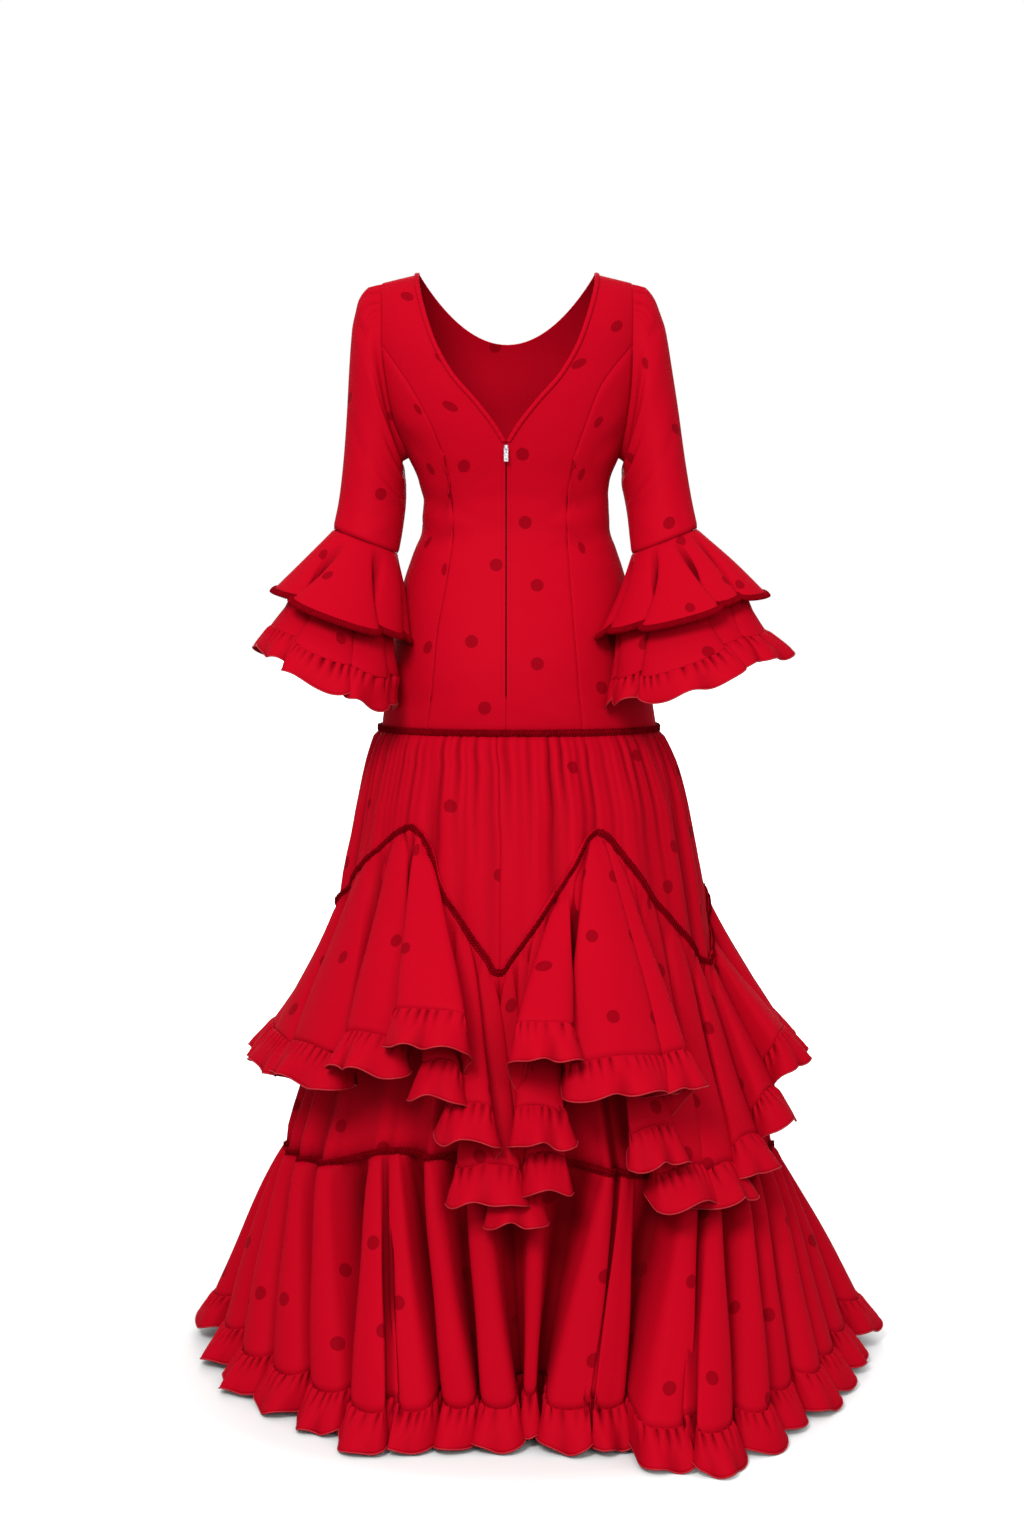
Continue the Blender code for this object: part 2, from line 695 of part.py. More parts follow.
def flounce_edges(flounce, place):
    """Lower edge and hem of a flounce at one place, the ruffle lying between them."""
    degrees, reach, z, wave = hem_point(flounce.folds, place, flounce.curl)
    flare = RUFFLE_FLARE * lerp(RUFFLE_VALLEY_SHARE, 1.0, wave)
    edge = skirt_at(degrees, reach - flare, z + RUFFLE_DROP, flounce.centre_x)
    return edge, skirt_at(degrees, reach, z, flounce.centre_x)


def fall(start, end, part):
    """A point on the way down a flounce: it drops first and flares more towards the hem."""
    flare = part ** FALL_POWER
    return Vector((lerp(start.x, end.x, flare), lerp(start.y, end.y, flare), lerp(start.z, end.z, part)))


def middle_column(place):
    """The middle flounce from its top edge, flat under the braid, down to its hem."""
    seam = seam_angle(MIDDLE, place)
    edge, hem = flounce_edges(MIDDLE, place)
    lift = LAYER_GAP + WALL
    top_z = zigzag_z(seam)
    top = base_point(seam, top_z, lift)
    under = base_point(seam, top_z - BRAID_HEIGHT * zigzag_stretch(seam), lift + LAYER_GAP)
    return [top, under] + [fall(under, edge, part) for part in MIDDLE_FALLS] + [edge, hem]


def bottom_column(place):
    """The bottom flounce from the seam down to its hem."""
    seam = seam_angle(BOTTOM, place)
    edge, hem = flounce_edges(BOTTOM, place)
    top = base_point(seam, lower_z(seam))
    return [top] + [fall(top, edge, part) for part in BOTTOM_FALLS] + [edge, hem]


def add_flounce(name, column_at, folds, material, group):
    """Four sections of a flounce and four lengths of the ruffle sewn to its edge."""
    count = len(folds) * COLUMNS_PER_FOLD
    columns = [column_at(step / COLUMNS_PER_FOLD) for step in range(count)]
    outer = [list(line) for line in zip(*columns)]
    inner = inner_wall(outer, True)
    per_gore = count // GORES
    for gore in range(GORES):
        picked = [(gore * per_gore + step) % count for step in range(per_gore + 1)]
        walls = [[[line[index] for index in picked] for line in wall] for wall in (outer, inner)]
        body = [wall[:-1] for wall in walls]
        ruffle = [wall[-2:] for wall in walls]
        add_cloth(name + "_" + GORE_NAMES[gore], *body, False, material[0], group)
        add_cloth(name + "_ruffle_" + GORE_NAMES[gore], *ruffle, False, material[1], group, "lrt")


def add_base(material, group):
    """The under-skirt in four gores."""
    angles = [BACK_SEAM_DEG + 360.0 * step / BASE_COLUMNS for step in range(BASE_COLUMNS)]
    outer = [[base_form(degrees, row) for degrees in angles] for row in BASE_ROWS]
    inner = inner_wall(outer, True)
    per_gore = BASE_COLUMNS // GORES
    for gore in range(GORES):
        picked = [(gore * per_gore + step) % BASE_COLUMNS for step in range(per_gore + 1)]
        walls = [[[line[index] for index in picked] for line in wall] for wall in (outer, inner)]
        add_cloth("under_skirt_" + GORE_NAMES[gore], *walls, False, material, group)


def strip_section(upper, lower, outward, clearance, thickness):
    """Four corners of a flat braid between an upper and a lower point."""
    inner, outer = outward * clearance, outward * (clearance + thickness)
    return [upper + inner, upper + outer, lower + outer, lower + inner]


def add_hip_braid(material, group):
    sections = []
    half = BRAID_HEIGHT / 2
    for index in range(HIP_BRAID_COLUMNS):
        degrees = BACK_SEAM_DEG + 360.0 * index / HIP_BRAID_COLUMNS
        upper = section_point(BODY, degrees, HIP_SEAM_Z + half)
        lower = base_point(degrees, HIP_SEAM_Z - half)
        sections.append(strip_section(upper, lower, skirt_radial(degrees), BRAID_CLEARANCE, BRAID_THICKNESS))
    add_band("hip_braid", sections, True, material, group)


def add_zigzag_braid(material, group):
    sections = []
    for index in range(len(MIDDLE_FOLDS) * COLUMNS_PER_FOLD):
        rows = middle_column(index / COLUMNS_PER_FOLD)
        seam = seam_angle(MIDDLE, index / COLUMNS_PER_FOLD)
        upper, lower = [lerp(rows[0], rows[1], share) for share in ZIGZAG_BRAID_SHARES]
        sections.append(strip_section(upper, lower, skirt_radial(seam), LAYER_GAP, BRAID_THICKNESS))
    add_band("zigzag_braid", sections, True, material, group)


def add_lower_braid(material, group):
    sections = []
    half = BRAID_HEIGHT / 2
    for index in range(LOWER_BRAID_COLUMNS):
        place = len(BOTTOM_FOLDS) * index / LOWER_BRAID_COLUMNS
        rows = bottom_column(place)
        seam = seam_angle(BOTTOM, place)
        upper = base_point(seam, lower_z(seam) + half)
        lower = lerp(rows[0], rows[1], half / (rows[1] - rows[0]).length)
        sections.append(strip_section(upper, lower, skirt_radial(seam), BRAID_CLEARANCE, BRAID_THICKNESS))
    add_band("lower_braid", sections, True, material, group)


def zip_edge(z):
    """Half of the centre-back slit: open along the zip, a plain seam gap below it."""
    if z > ZIP_BOTTOM_Z:
        return ZIP_SLIT / 2
    return SEAM_GAP / 2


def bodice_normal(degrees, z):
    """Outward direction of the bodice form."""
    point = bodice_point(degrees, z)
    if z > shoulder_height(point.x) - 1e-6:
        return Vector((0.0, 0.0, 1.0))
    across = bodice_point(degrees + 0.2, z) - bodice_point(degrees - 0.2, z)
    down = bodice_point(degrees, z - 0.0005) - point
    return across.cross(down).normalized()


def add_panel(name, places, material, group, sides="lrbt"):
    """A bodice panel through rows of (angle, level), top row first."""
    outer = [[bodice_point(*place) for place in line] for line in places]
    inner = [[bodice_point(*place) - bodice_normal(*place) * WALL for place in line] for line in places]
    add_cloth(name, outer, inner, False, material, group, sides)


def add_bodice(material, group):
    """Seven panels; those of the right side run the other way round the body."""
    for side, label in ((1, "left"), (-1, "right")):
        back = back_places(side)
        side_back, side_front = side_places(side, False), side_places(side, True)
        if side < 0:
            back = [line[::-1] for line in back]
            side_back = [line[::-1] for line in side_back]
        else:
            side_front = [line[::-1] for line in side_front]
        add_panel("bodice_back_" + label, back, material, group, "rbt" if side > 0 else "lbt")
        add_panel("bodice_side_back_" + label, side_back, material, group)
        add_panel("bodice_side_front_" + label, side_front, material, group)
    add_panel("bodice_front", front_places(), material, group)


def back_places(side):
    """Back panel from the slit and neck edge out to the princess seam and armhole."""
    places = []
    for z, climb in bodice_rows():
        inner_z = lerp(PRINCESS_TOP_Z, 0.0, climb) if climb > 0 else z
        neck = smooth_row(BACK_NECK, inner_z)[0] if inner_z > V_POINT_Z else 0.0
        centre = CENTRE_BACK_X * min(1.0, inner_z / V_POINT_Z)
        inner = centre + side * max(neck, zip_edge(inner_z))
        outer = princess_x(z, side)
        line = []
        for column in range(PANEL_COLUMNS + 1):
            x = lerp(inner, outer, column / PANEL_COLUMNS)
            level = lerp(PRINCESS_TOP_Z, shoulder_height(x), climb) if climb > 0 else z
            line.append((bodice_angle(x, level), level))
        places.append(line)
    return places[::-1]


def front_places():
    """Front panel between the princess seams, under a shallow scooped neck."""
    places = []
    for z, climb in bodice_rows():
        line = []
        for column in range(FRONT_COLUMNS + 1):
            step = FRONT_COLUMNS // 2 - column
            side = 1 if step >= 0 else -1
            x = princess_x(z, side) * front_spread(abs(step), climb)
            level = lerp(PRINCESS_TOP_Z, front_top(x), climb) if climb > 0 else z
            line.append((bodice_angle(x, level, front=True), level))
        places.append(line)
    return places[::-1]


def front_spread(step, climb):
    """Share of the half width at a column counted from the centre; the last fills the strap."""
    half = FRONT_COLUMNS // 2
    strap = FRONT_NECK_SHARES[step] * NECK_HALF_WIDTH / SHOULDER_TIP_X if step < half else 1.0
    return lerp(step / half, strap, climb)


def front_top(x):
    """Top edge of the front: shoulder seam outside the neck, scoop inside it."""
    if abs(x) >= NECK_HALF_WIDTH - 0.0005:
        return shoulder_height(x)
    part = abs(x) / NECK_HALF_WIDTH
    return -FRONT_NECK_DEPTH * (1.0 - part * part)


def armhole_step(step):
    """Share of the way from the princess seam to the side seam, and of the fall to the armpit."""
    angle = math.radians(90.0 * step / ARMHOLE_STEPS)
    return 1.0 - math.cos(angle), math.sin(angle)


def side_places(side, front):
    """Side panel from the princess seam to the side seam, topped by the lower armhole."""
    places = []
    bottom = SEAM_ROWS[0]
    for seam_z in SEAM_ROWS[::-1]:
        share = (seam_z - bottom) / (PRINCESS_TOP_Z - bottom)
        start = bodice_angle(princess_x(seam_z, side), seam_z)
        line = []
        for step in range(ARMHOLE_STEPS + 1):
            across, dip = armhole_step(step)
            level = seam_z + share * dip * (ARMPIT_Z - PRINCESS_TOP_Z)
            degrees = lerp(start, 90.0 * side, across)
            if front:
                degrees = 180.0 * side - degrees
            line.append((degrees, level))
        places.append(line)
    return places


def neck_path():
    """Points of the neck edge with their outward direction, from the left of the zip to its right."""
    sides = []
    for side in (1, -1):
        rows = [line for line in back_places(side) if line[0][1] > V_POINT_Z - 1e-6]
        sides.append([line[0] for line in rows])
    front = front_places()[0][2 : FRONT_COLUMNS - 1]
    places = sides[0][::-1] + front + sides[1]
    return [(bodice_point(*place), bodice_normal(*place)) for place in places]


def add_binding(material, group):
    """Raised binding laid along the neck edge, its ends meeting above the zip."""
    points = neck_path()
    sections = []
    for index, (point, normal) in enumerate(points):
        before, after = points[max(0, index - 1)][0], points[min(len(points) - 1, index + 1)][0]
        into_cloth = normal.cross((after - before).normalized()).normalized()
        if index in (0, len(points) - 1):
            into_cloth = Vector((1.0 if index == 0 else -1.0, 0.0, 0.0))
        start = point + normal * (LAYER_GAP + (BINDING_LIFT if point.y >= 0 else FRONT_BINDING_LIFT))
        section = []
        for corner in BINDING_PROFILE:
            over, up = BINDING_WIDTH * corner.across, BINDING_THICKNESS * corner.up
            section.append(start + into_cloth * over + normal * up)
        sections.append(section)
    add_band("neck_binding", sections, False, material, group)


def back_centre_point(x, z):
    """A point near the centre back on the flat faces between the rows of the back panels."""
    index = 0
    while SEAM_ROWS[index + 1] < z:
        index += 1
    low, high = SEAM_ROWS[index], SEAM_ROWS[index + 1]
    part = (z - low) / (high - low)
    return lerp(bodice_point(bodice_angle(x, low), low), bodice_point(bodice_angle(x, high), high), part)


def add_zip(materials, group):
    """Tape behind the slit, slider at its top and a hinged pull tab."""
    half = TAPE_WIDTH / 2
    sections = []
    levels = [ZIP_BOTTOM_Z] + [z for z in SEAM_ROWS if ZIP_BOTTOM_Z < z < ZIP_TOP_Z] + [ZIP_TOP_Z]
    for z in levels:
        section = []
        for across, depth in ((-half, 0.0), (half, 0.0), (half, -TAPE_THICKNESS), (-half, -TAPE_THICKNESS)):
            point = back_centre_point(CENTRE_BACK_X + across, z)
            point.y += depth - WALL - 2 * LAYER_GAP
            section.append(point)
        sections.append(section)
    add_band("zip_tape", sections, False, materials[0], group)
    face = back_centre_point(CENTRE_BACK_X, ZIP_TOP_Z)
    width, depth, height = SLIDER_SIZE
    centre = face + Vector((0.0, depth / 2 + LAYER_GAP, -height / 2))
    slider = add_plate("zip_slider", centre, SLIDER_SIZE, SLIDER_BEVEL, materials[1], group)
    hinge = centre + Vector((0.0, depth / 2 + HINGE_STANDOFF, -height * HINGE_SHARE))
    lug_centre = hinge + Vector((0.0, LUG_REACH - LUG_SIZE[1] / 2, 0.0))
    lug = add_plate("slider_lug", lug_centre, LUG_SIZE, PULL_BEVEL, materials[1], group)
    join_solids(slider, lug)
    tab_centre = hinge + Vector((0.0, 0.0, PULL_TOP - PULL_SIZE[2] / 2))
    tab = add_plate("zip_pull", tab_centre, PULL_SIZE, PULL_BEVEL, materials[1], group)
    slot_centre = hinge + Vector((0.0, 0.0, SLOT_SIZE[2] / 2 - SLOT_DEPTH))
    slot = add_plate("pull_slot", slot_centre, SLOT_SIZE, 0.0, materials[1], group)
    cut_solid(tab, slot)
    for drop in PULL_HOLE_DROPS:
        hole_centre = hinge - Vector((0.0, 0.0, drop))
        hole = add_pin("pull_hole", hole_centre, PULL_HOLE_RADIUS, 2 * SLOT_SIZE[1], materials[1], group)
        cut_solid(tab, hole)
    return hinge


def add_plate(name, centre, size, bevel, material, group):
    half = [value / 2 for value in size]
    vertices = [
        centre + Vector((half[0] * x, half[1] * y, half[2] * z))
        for x in (-1, 1)
        for y in (-1, 1)
        for z in (-1, 1)
    ]
    faces = [(0, 1, 3, 2), (4, 6, 7, 5), (0, 4, 5, 1), (2, 3, 7, 6), (0, 2, 6, 4), (1, 5, 7, 3)]
    item = add_mesh(name, vertices, faces, material, group)
    face_outwards(item)
    if bevel:
        round_off = item.modifiers.new("edges", "BEVEL")
        round_off.width = bevel
        round_off.segments = 1
    return item


def add_pin(name, centre, radius, length, material, group):
    sections = []
    for end in (-0.5, 0.5):
        ring = []
        for index in range(PIN_SIDES):
            angle = 2 * math.pi * index / PIN_SIDES
            ring.append(centre + Vector((radius * math.cos(angle), end * length, radius * math.sin(angle))))
        sections.append(ring)
    return add_band(name, sections, False, material, group)


def boolean(item, other, operation):
    step = item.modifiers.new(operation.lower(), "BOOLEAN")
    step.operation = operation
    step.solver = "EXACT"
    step.object = other
    other.hide_render = True
    other.display_type = "WIRE"
    for owner in list(other.users_collection):
        owner.objects.unlink(other)
    bpy.data.collections["cutters"].objects.link(other)


def join_solids(item, other):
    boolean(item, other, "UNION")


def cut_solid(item, other):
    boolean(item, other, "DIFFERENCE")


def arm_frame(ring, side):
    outer = Vector((side * ring.outer_x, ring.centre_y, ring.outer_z))
    inner = Vector((side * ring.inner_x, ring.centre_y, ring.inner_z))
    centre = (outer + inner) / 2
    return centre, outer - centre


def arm_point(ring, side, turn, grow=0.0):
    """Point of a ring round the arm: turn 0 outermost, 0.25 towards the back, 0.5 innermost."""
    centre, across = arm_frame(ring, side)
    angle = 2 * math.pi * turn
    reach = 1.0 + grow / across.length
    depth = ring.half_depth + grow
    return centre + across * (reach * math.cos(angle)) + Vector((0.0, depth * math.sin(angle), 0.0))


def armhole_loop(side):
    """The armhole from the shoulder tip down the back to the armpit and up the front."""
    halves = []
    for front in (False, True):
        places = []
        for climb in ARMHOLE_ROWS[::-1]:
            z = lerp(PRINCESS_TOP_Z, -SHOULDER_DROP, climb)
            x = armhole_x(z, side)
            level = lerp(PRINCESS_TOP_Z, shoulder_height(x), climb)
            places.append((bodice_angle(x, level, front), level))
        places += side_places(side, front)[0]
        halves.append([bodice_point(*place) for place in places])
    back, front = halves
    return back + front[-2:0:-1]


def down_order(line, side):
    """A ring of the left arm is turned round so that its columns run by growing angle."""
    return [line[0]] + line[:0:-1] if side > 0 else line


def add_sleeve(name, rings, cuff, side, material, group):
    """Sleeve from the armhole to the cuff seam; its head is eased in with small gathers."""
    loop = armhole_loop(side)
    count = len(loop)
    grid = [[point + Vector((side * LAYER_GAP, 0.0, 0.0)) for point in loop]]
    for place, ring in enumerate(rings):
        head = SLEEVE_HEAD[min(place, len(SLEEVE_HEAD) - 1)]
        line = []
        for index in range(count):
            turn = index / count
            on_head = min(turn, 1.0 - turn) <= HEAD_SHARE
            puff = head.gather * math.cos(math.pi * index) if on_head else 0.0
            point = arm_point(ring, side, turn, puff)
            near = loop[index] + Vector((side * head.step_out, 0.0, -head.step_out / 3))
            line.append(lerp(near, point, head.blend))
        grid.append(line)
    grid.append([arm_point(cuff[1], side, index / count) for index in range(count)])
    outer = [down_order(line, side) for line in grid]
    inner = inner_wall(outer, True)
    add_cloth(name, outer[:-1], inner[:-1], True, material, group)


def cuff_line(ring, side, wave, tilt):
    """A ring of a cuff thrown into folds that curl in under their crests."""
    line = []
    for index in range(CUFF_COLUMNS):
        turn = index / CUFF_COLUMNS
        grow = wave * math.cos(2 * math.pi * (turn * CUFF_FOLDS + tilt))
        curl = CUFF_CURL / CUFF_FOLDS * math.sin(2 * math.pi * (turn * CUFF_FOLDS + tilt)) * wave / CUFF_WAVE
        line.append(arm_point(ring, side, turn + curl, grow))
    return line


def add_cuff(label, upper, lower, sleeve, side, materials, group):
    """Upper flounce with its braid; the lower flounce hangs from inside it and ends in a ruffle."""
    tilt = CUFF_TILT[0] if side > 0 else CUFF_TILT[1]
    lines = [cuff_line(ring, side, CUFF_WAVE * wave, tilt) for ring, wave in zip(upper, UPPER_CUFF_WAVES)]
    above = cuff_line(sleeve[-2], side, 0.0, tilt)
    outer = [down_order(line, side) for line in [above] + lines]
    inner = inner_wall(outer, True)[1:]
    outer = outer[1:]
    for wall in (outer, inner):
        wall[0] = [point + (below - point).normalized() * CUFF_EASE for point, below in zip(*wall[:2])]
    add_cloth("cuff_flounce_" + label, outer, inner, True, materials[0], group)
    sections = []
    for before, point, behind in zip(outer[1], outer[2], inner[2]):
        outward = (point - behind).normalized()
        up = (before - point).normalized() * CUFF_BRAID_HEIGHT
        sections.append(strip_section(point + up, point, outward, CUFF_BRAID_CLEARANCE, BRAID_THICKNESS))
    add_band("cuff_braid_" + label, sections, True, materials[1], group)
    lines = [cuff_line(ring, side, CUFF_WAVE * wave, tilt) for ring, wave in zip(lower, LOWER_CUFF_WAVES)]
    joined = [lerp(behind, point, -LAYER_GAP / WALL) for point, behind in zip(outer[1], inner[1])]
    outer = [joined] + [down_order(line, side) for line in lines]
    inner = inner_wall(outer, True)
    add_cloth("cuff_lower_flounce_" + label, outer[:3], inner[:3], True, materials[0], group)
    add_cloth("cuff_ruffle_" + label, outer[2:], inner[2:], True, materials[0], group, "t")


def build():
    for item in list(bpy.data.objects):
        bpy.data.objects.remove(item)
    dress = make_collection("flamenco_dress")
    make_collection("cutters", hidden=True)
    red = make_material("red_cloth", RED, 0.62)
    ruffle_red = make_material("ruffle_cloth", RED, 0.60)
    braid = make_material("dark_braid", DARK_RED, 0.70)
    tape = make_material("zip_tape_cloth", TAPE_RED, 0.75)
    silver = make_material("zip_silver", SILVER, 0.30, 1.0)
    add_bodice(red, dress)
    add_binding(red, dress)
    add_zip((tape, silver), dress)
    add_sleeve("sleeve_left", LEFT_SLEEVE, LEFT_CUFF, 1, red, dress)
    add_sleeve("sleeve_right", RIGHT_SLEEVE, RIGHT_CUFF, -1, red, dress)
    add_cuff("left", LEFT_CUFF, LEFT_LOWER_CUFF, LEFT_SLEEVE, 1, (red, braid), dress)
    add_cuff("right", RIGHT_CUFF, RIGHT_LOWER_CUFF, RIGHT_SLEEVE, -1, (red, braid), dress)
    add_hip_braid(braid, dress)
    add_base(red, dress)
    add_zigzag_braid(braid, dress)
    add_lower_braid(braid, dress)
    add_flounce("middle_flounce", middle_column, MIDDLE_FOLDS, (red, ruffle_red), dress)
    add_flounce("bottom_flounce", bottom_column, BOTTOM_FOLDS, (red, ruffle_red), dress)


build()
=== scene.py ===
"""Looks of the flamenco dress: thin cloth, gathers, braids, stitching, camera and stage.

Metres, +Z up, the front of the dress faces -Y and +X is the wearer's left.
Angles run from the back (+Y, 0 degrees) through the wearer's left (+X, 90) to the front (180).
"""

import math
from collections import namedtuple

import bpy
import numpy as np
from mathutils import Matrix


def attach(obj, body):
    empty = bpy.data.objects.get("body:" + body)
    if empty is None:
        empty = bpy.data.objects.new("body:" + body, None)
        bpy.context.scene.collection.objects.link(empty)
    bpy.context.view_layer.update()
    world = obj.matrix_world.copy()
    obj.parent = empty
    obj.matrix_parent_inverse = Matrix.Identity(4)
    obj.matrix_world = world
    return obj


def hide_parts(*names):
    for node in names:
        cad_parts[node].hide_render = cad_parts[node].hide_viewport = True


bl_info = {
    "name": "Flamenco Dress",
    "version": (1, 0, 0),
    "blender": (4, 5, 0),
    "location": "3D View > Sidebar > Dress",
    "description": "Sews the visible cloth, braids and zip of a flamenco dress round its solids",
    "category": "Object",
}

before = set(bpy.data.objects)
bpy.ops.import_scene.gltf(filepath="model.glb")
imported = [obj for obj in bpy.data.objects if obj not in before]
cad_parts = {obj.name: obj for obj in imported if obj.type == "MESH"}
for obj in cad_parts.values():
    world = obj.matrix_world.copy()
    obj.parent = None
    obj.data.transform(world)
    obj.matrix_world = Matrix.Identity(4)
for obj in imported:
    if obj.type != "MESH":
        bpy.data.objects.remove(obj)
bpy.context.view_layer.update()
BODY = "dress"
SIDES = ((1, "left"), (-1, "right"))
Wave = namedtuple("Wave", "rate share shift")

# Cloth and seams
SEAM_ALLOWANCE = 0.0030
ARMHOLE_ALLOWANCE = (0.945, 0.86, 1.0)
SEAM_GAP = 0.0004
SEAM_ROLL = 0.0014
SEAM_SINK = 0.0012
PANEL_SINK = 0.0011
EDGE_FADE = 0.020
CLOTH_LIFT = 0.0010
SKIRT_LIFT = 0.0004
MIDDLE_LIFT = 0.0032
LAYER_GAP = 0.0006

# Braids: height of the skirt's, clearance of each from the cloth, its loops and band, the cuffs' ribs
BRAID_HEIGHT = 0.0110
HIP_BRAID_LIFT = 0.0022
ZIGZAG_BRAID_LIFT = 0.0008
LOWER_BRAID_LIFT = 0.0020
CUFF_BRAID_LIFT = 0.0012
LOOP_TILT = 0.35
LOOP_INSET_SHARE = 0.9
LOOP_RISE = 0.0014
LOOP_WOBBLE = Wave(2.4, 0.00035, 0.0)
BAND_FOOT, BAND_TOP, BAND_THICKNESS = 0.86, 0.80, 0.0010
RIB_SHARES = (0.62, 0.53)
RIB_THICKNESS = 0.0020
RIB_RISE_SHARE = 0.42
CUFF_BAND_PROFILE = ((-0.0042, -0.0010), (-0.0042, 0.0006), (0.0042, 0.0006), (0.0042, -0.0010))

# Levels, measured down from the shoulder line
HIP_SEAM_Z = -0.6180
ARMPIT_Z = -0.2500
PRINCESS_TOP_Z = -0.1000
SHOULDER_DROP = 0.0120
SHOULDER_ROUND_Z = -0.1300
SHOULDER_POWER = 2.4
BACK_DOME = 0.50
FRONT_DOME = 0.75

# Stage: the floor's glow is held back near the hem, which paints a shadow there on top of the real one, and
# turns white towards the room
FLOOR_Z = -1.4530
FLOOR_SIZE = 60.0
FLOOR_CLEARANCE = 0.0012
SHADOW_REACH, SHADOW_RAMP = 0.46, 0.16
WHITE_REACH, WHITE_RAMP = 1.0, 2.6
CAMERA_PLACE = (-0.0068, 2.96, -0.431)
CAMERA_LENS = 50.64
CAMERA_SHIFT = -0.1159
LIGHT_AIM = (0.0, 0.0, -0.65)
WHITE, DULL, BLACK = (1.0, 1.0, 1.0, 1.0), (0.25, 0.25, 0.25, 1.0), (0.0, 0.0, 0.0, 1.0)
Lamp = namedtuple("Lamp", "name place size power")
LAMPS = (
    Lamp("key_light", (0.9, 3.1, 1.3), 1.3, "key_power"),
    Lamp("fill_light", (-0.9, 3.3, 0.2), 1.4, "fill_power"),
    Lamp("far_light", (0.0, -3.6, 0.9), 2.6, "front_power"),
)

# Neck and zip
NECK_HALF_WIDTH = 0.1205
NECK_POINT_HALF_WIDTH = 0.0008
NECK_END_SHARE = 0.996
SHOULDER_TIP_X = 0.1715
ARMHOLE_BASE_X = 0.1690
V_POINT_Z = -0.2340
CENTRE_BACK_X = 0.0010
FRONT_NECK_DEPTH = 0.0850
FRONT_NECK_SHARES = (0.0, 0.30, 0.58, 0.82, 1.0)
ARMHOLE_CLIMBS = (1.0, 0.82, 0.58, 0.30, 0.0)
ARMHOLE_HIGH_STEPS = len(ARMHOLE_CLIMBS) - 1.0
ZIP_SLIT = 0.0018
ZIP_TOP_Z = -0.2380
ZIP_BOTTOM_Z = -0.5730
STITCH_LIFT = 0.00012
STITCH_SECTION = (0.00034, 0.00026)
BINDING_LIFT = 0.0002
PUCKER_PITCH, PUCKER_DEPTH = 0.0085, 0.00022
BINDING_PROFILE = (
    (-0.0004, -0.0006),
    (-0.0007, 0.0008),
    (0.0004, 0.0021),
    (0.0022, 0.0026),
    (0.0040, 0.0025),
    (0.0054, 0.0017),
    (0.0058, 0.0004),
    (0.0040, -0.0002),
)

# Fineness of the visible cloth
BODICE_ROWS = 84
SHOULDER_ROWS = 12
PANEL_STEPS = 22
SIDE_STEPS = 18
FRONT_STEPS = 34
COLUMNS_PER_LOBE = 24
FLOUNCE_ROWS = 27
GORE_STEPS = 104
GORE_TOP_SHARE, GORE_TOP_ROWS, GORE_ROWS = 0.2, 11, 18
SLEEVE_COLUMNS = 144
HEAD_ROWS, SLEEVE_ROWS = 28, 30
CUFF_COLUMNS = 210
CUFF_ROWS, UNDER_CUFF_ROWS, LOWER_CUFF_ROWS = 30, 10, 12
CUFF_EDGE_SAMPLES = 540
NECK_STEPS = 150
HIP_SAMPLES, FOLD_SAMPLES, SEAM_SAMPLES, RUFFLE_SAMPLES = 720, 1200, 1400, 1600
SKIRT_RUFFLE_PITCH = 0.0024
CUFF_RUFFLE_PITCH = 0.0022

# Skirt and ruffles
GORE_NAMES = ("back_left", "front_left", "front_right", "back_right")
BACK_SEAM_DEG = 7.5
RUFFLE_DROP = 0.0385
RUFFLE_FLARE = 0.0210
RUFFLE_VALLEY_SHARE = 0.25
RUFFLE_FLARE_POWER = 1.5
RUFFLE_TOP_RISE = 0.0015
RUFFLE_PINCH = 0.0012
RUFFLE_SWELL = 0.0110
RUFFLE_LIFT = 0.0032
RUFFLE_LIFT_SHIFT = 0.9
RUFFLE_SWELL_POWER, RUFFLE_PINCH_POWER = 1.2, 6
RUFFLE_GATHER_POWER, RUFFLE_GATHER_SINK = 0.8, 1.4
RUFFLE_ROWS = (0.0, 0.035, 0.09, 0.17, 0.28, 0.42, 0.58, 0.76, 0.90, 1.0)
TIGHT_ROWS = (0.0, 0.09, 0.17, 0.28, 0.42, 0.58)
TIGHT_SHARES = (0.3, 1.0, 0.85, 0.5, 0.2, 0.0)
ZIGZAG_BRAID_SHARES = (-0.06, 0.92)
FALL_POWER = 1.15
FOLD_POWER = 0.62
MARKS_PER_LOBE = 5.0
COURSE_REACH, COURSE_STEPS = 0.75, 13
TIP_SHARE = 0.80
TIP_DROP_SHARE = 0.35
# Reaches, contrast and least span of the fold depth that masks the shade painted into the valleys
FOLD_REACHES = (3, 8)
FOLD_CONTRAST = 5.0
FOLD_LEAST_SPAN = 0.003
FLARED_RATIO = 1.08
CREASE_START, CREASE_RUN, CREASE_POWER = 0.06, 0.9, 0.8
PLEAT_HALF_DEG = 1.1
GATHERED_SHARE = 0.30
MIDDLE_CENTRE_X = -0.0270
BOTTOM_CENTRE_X = -0.0370

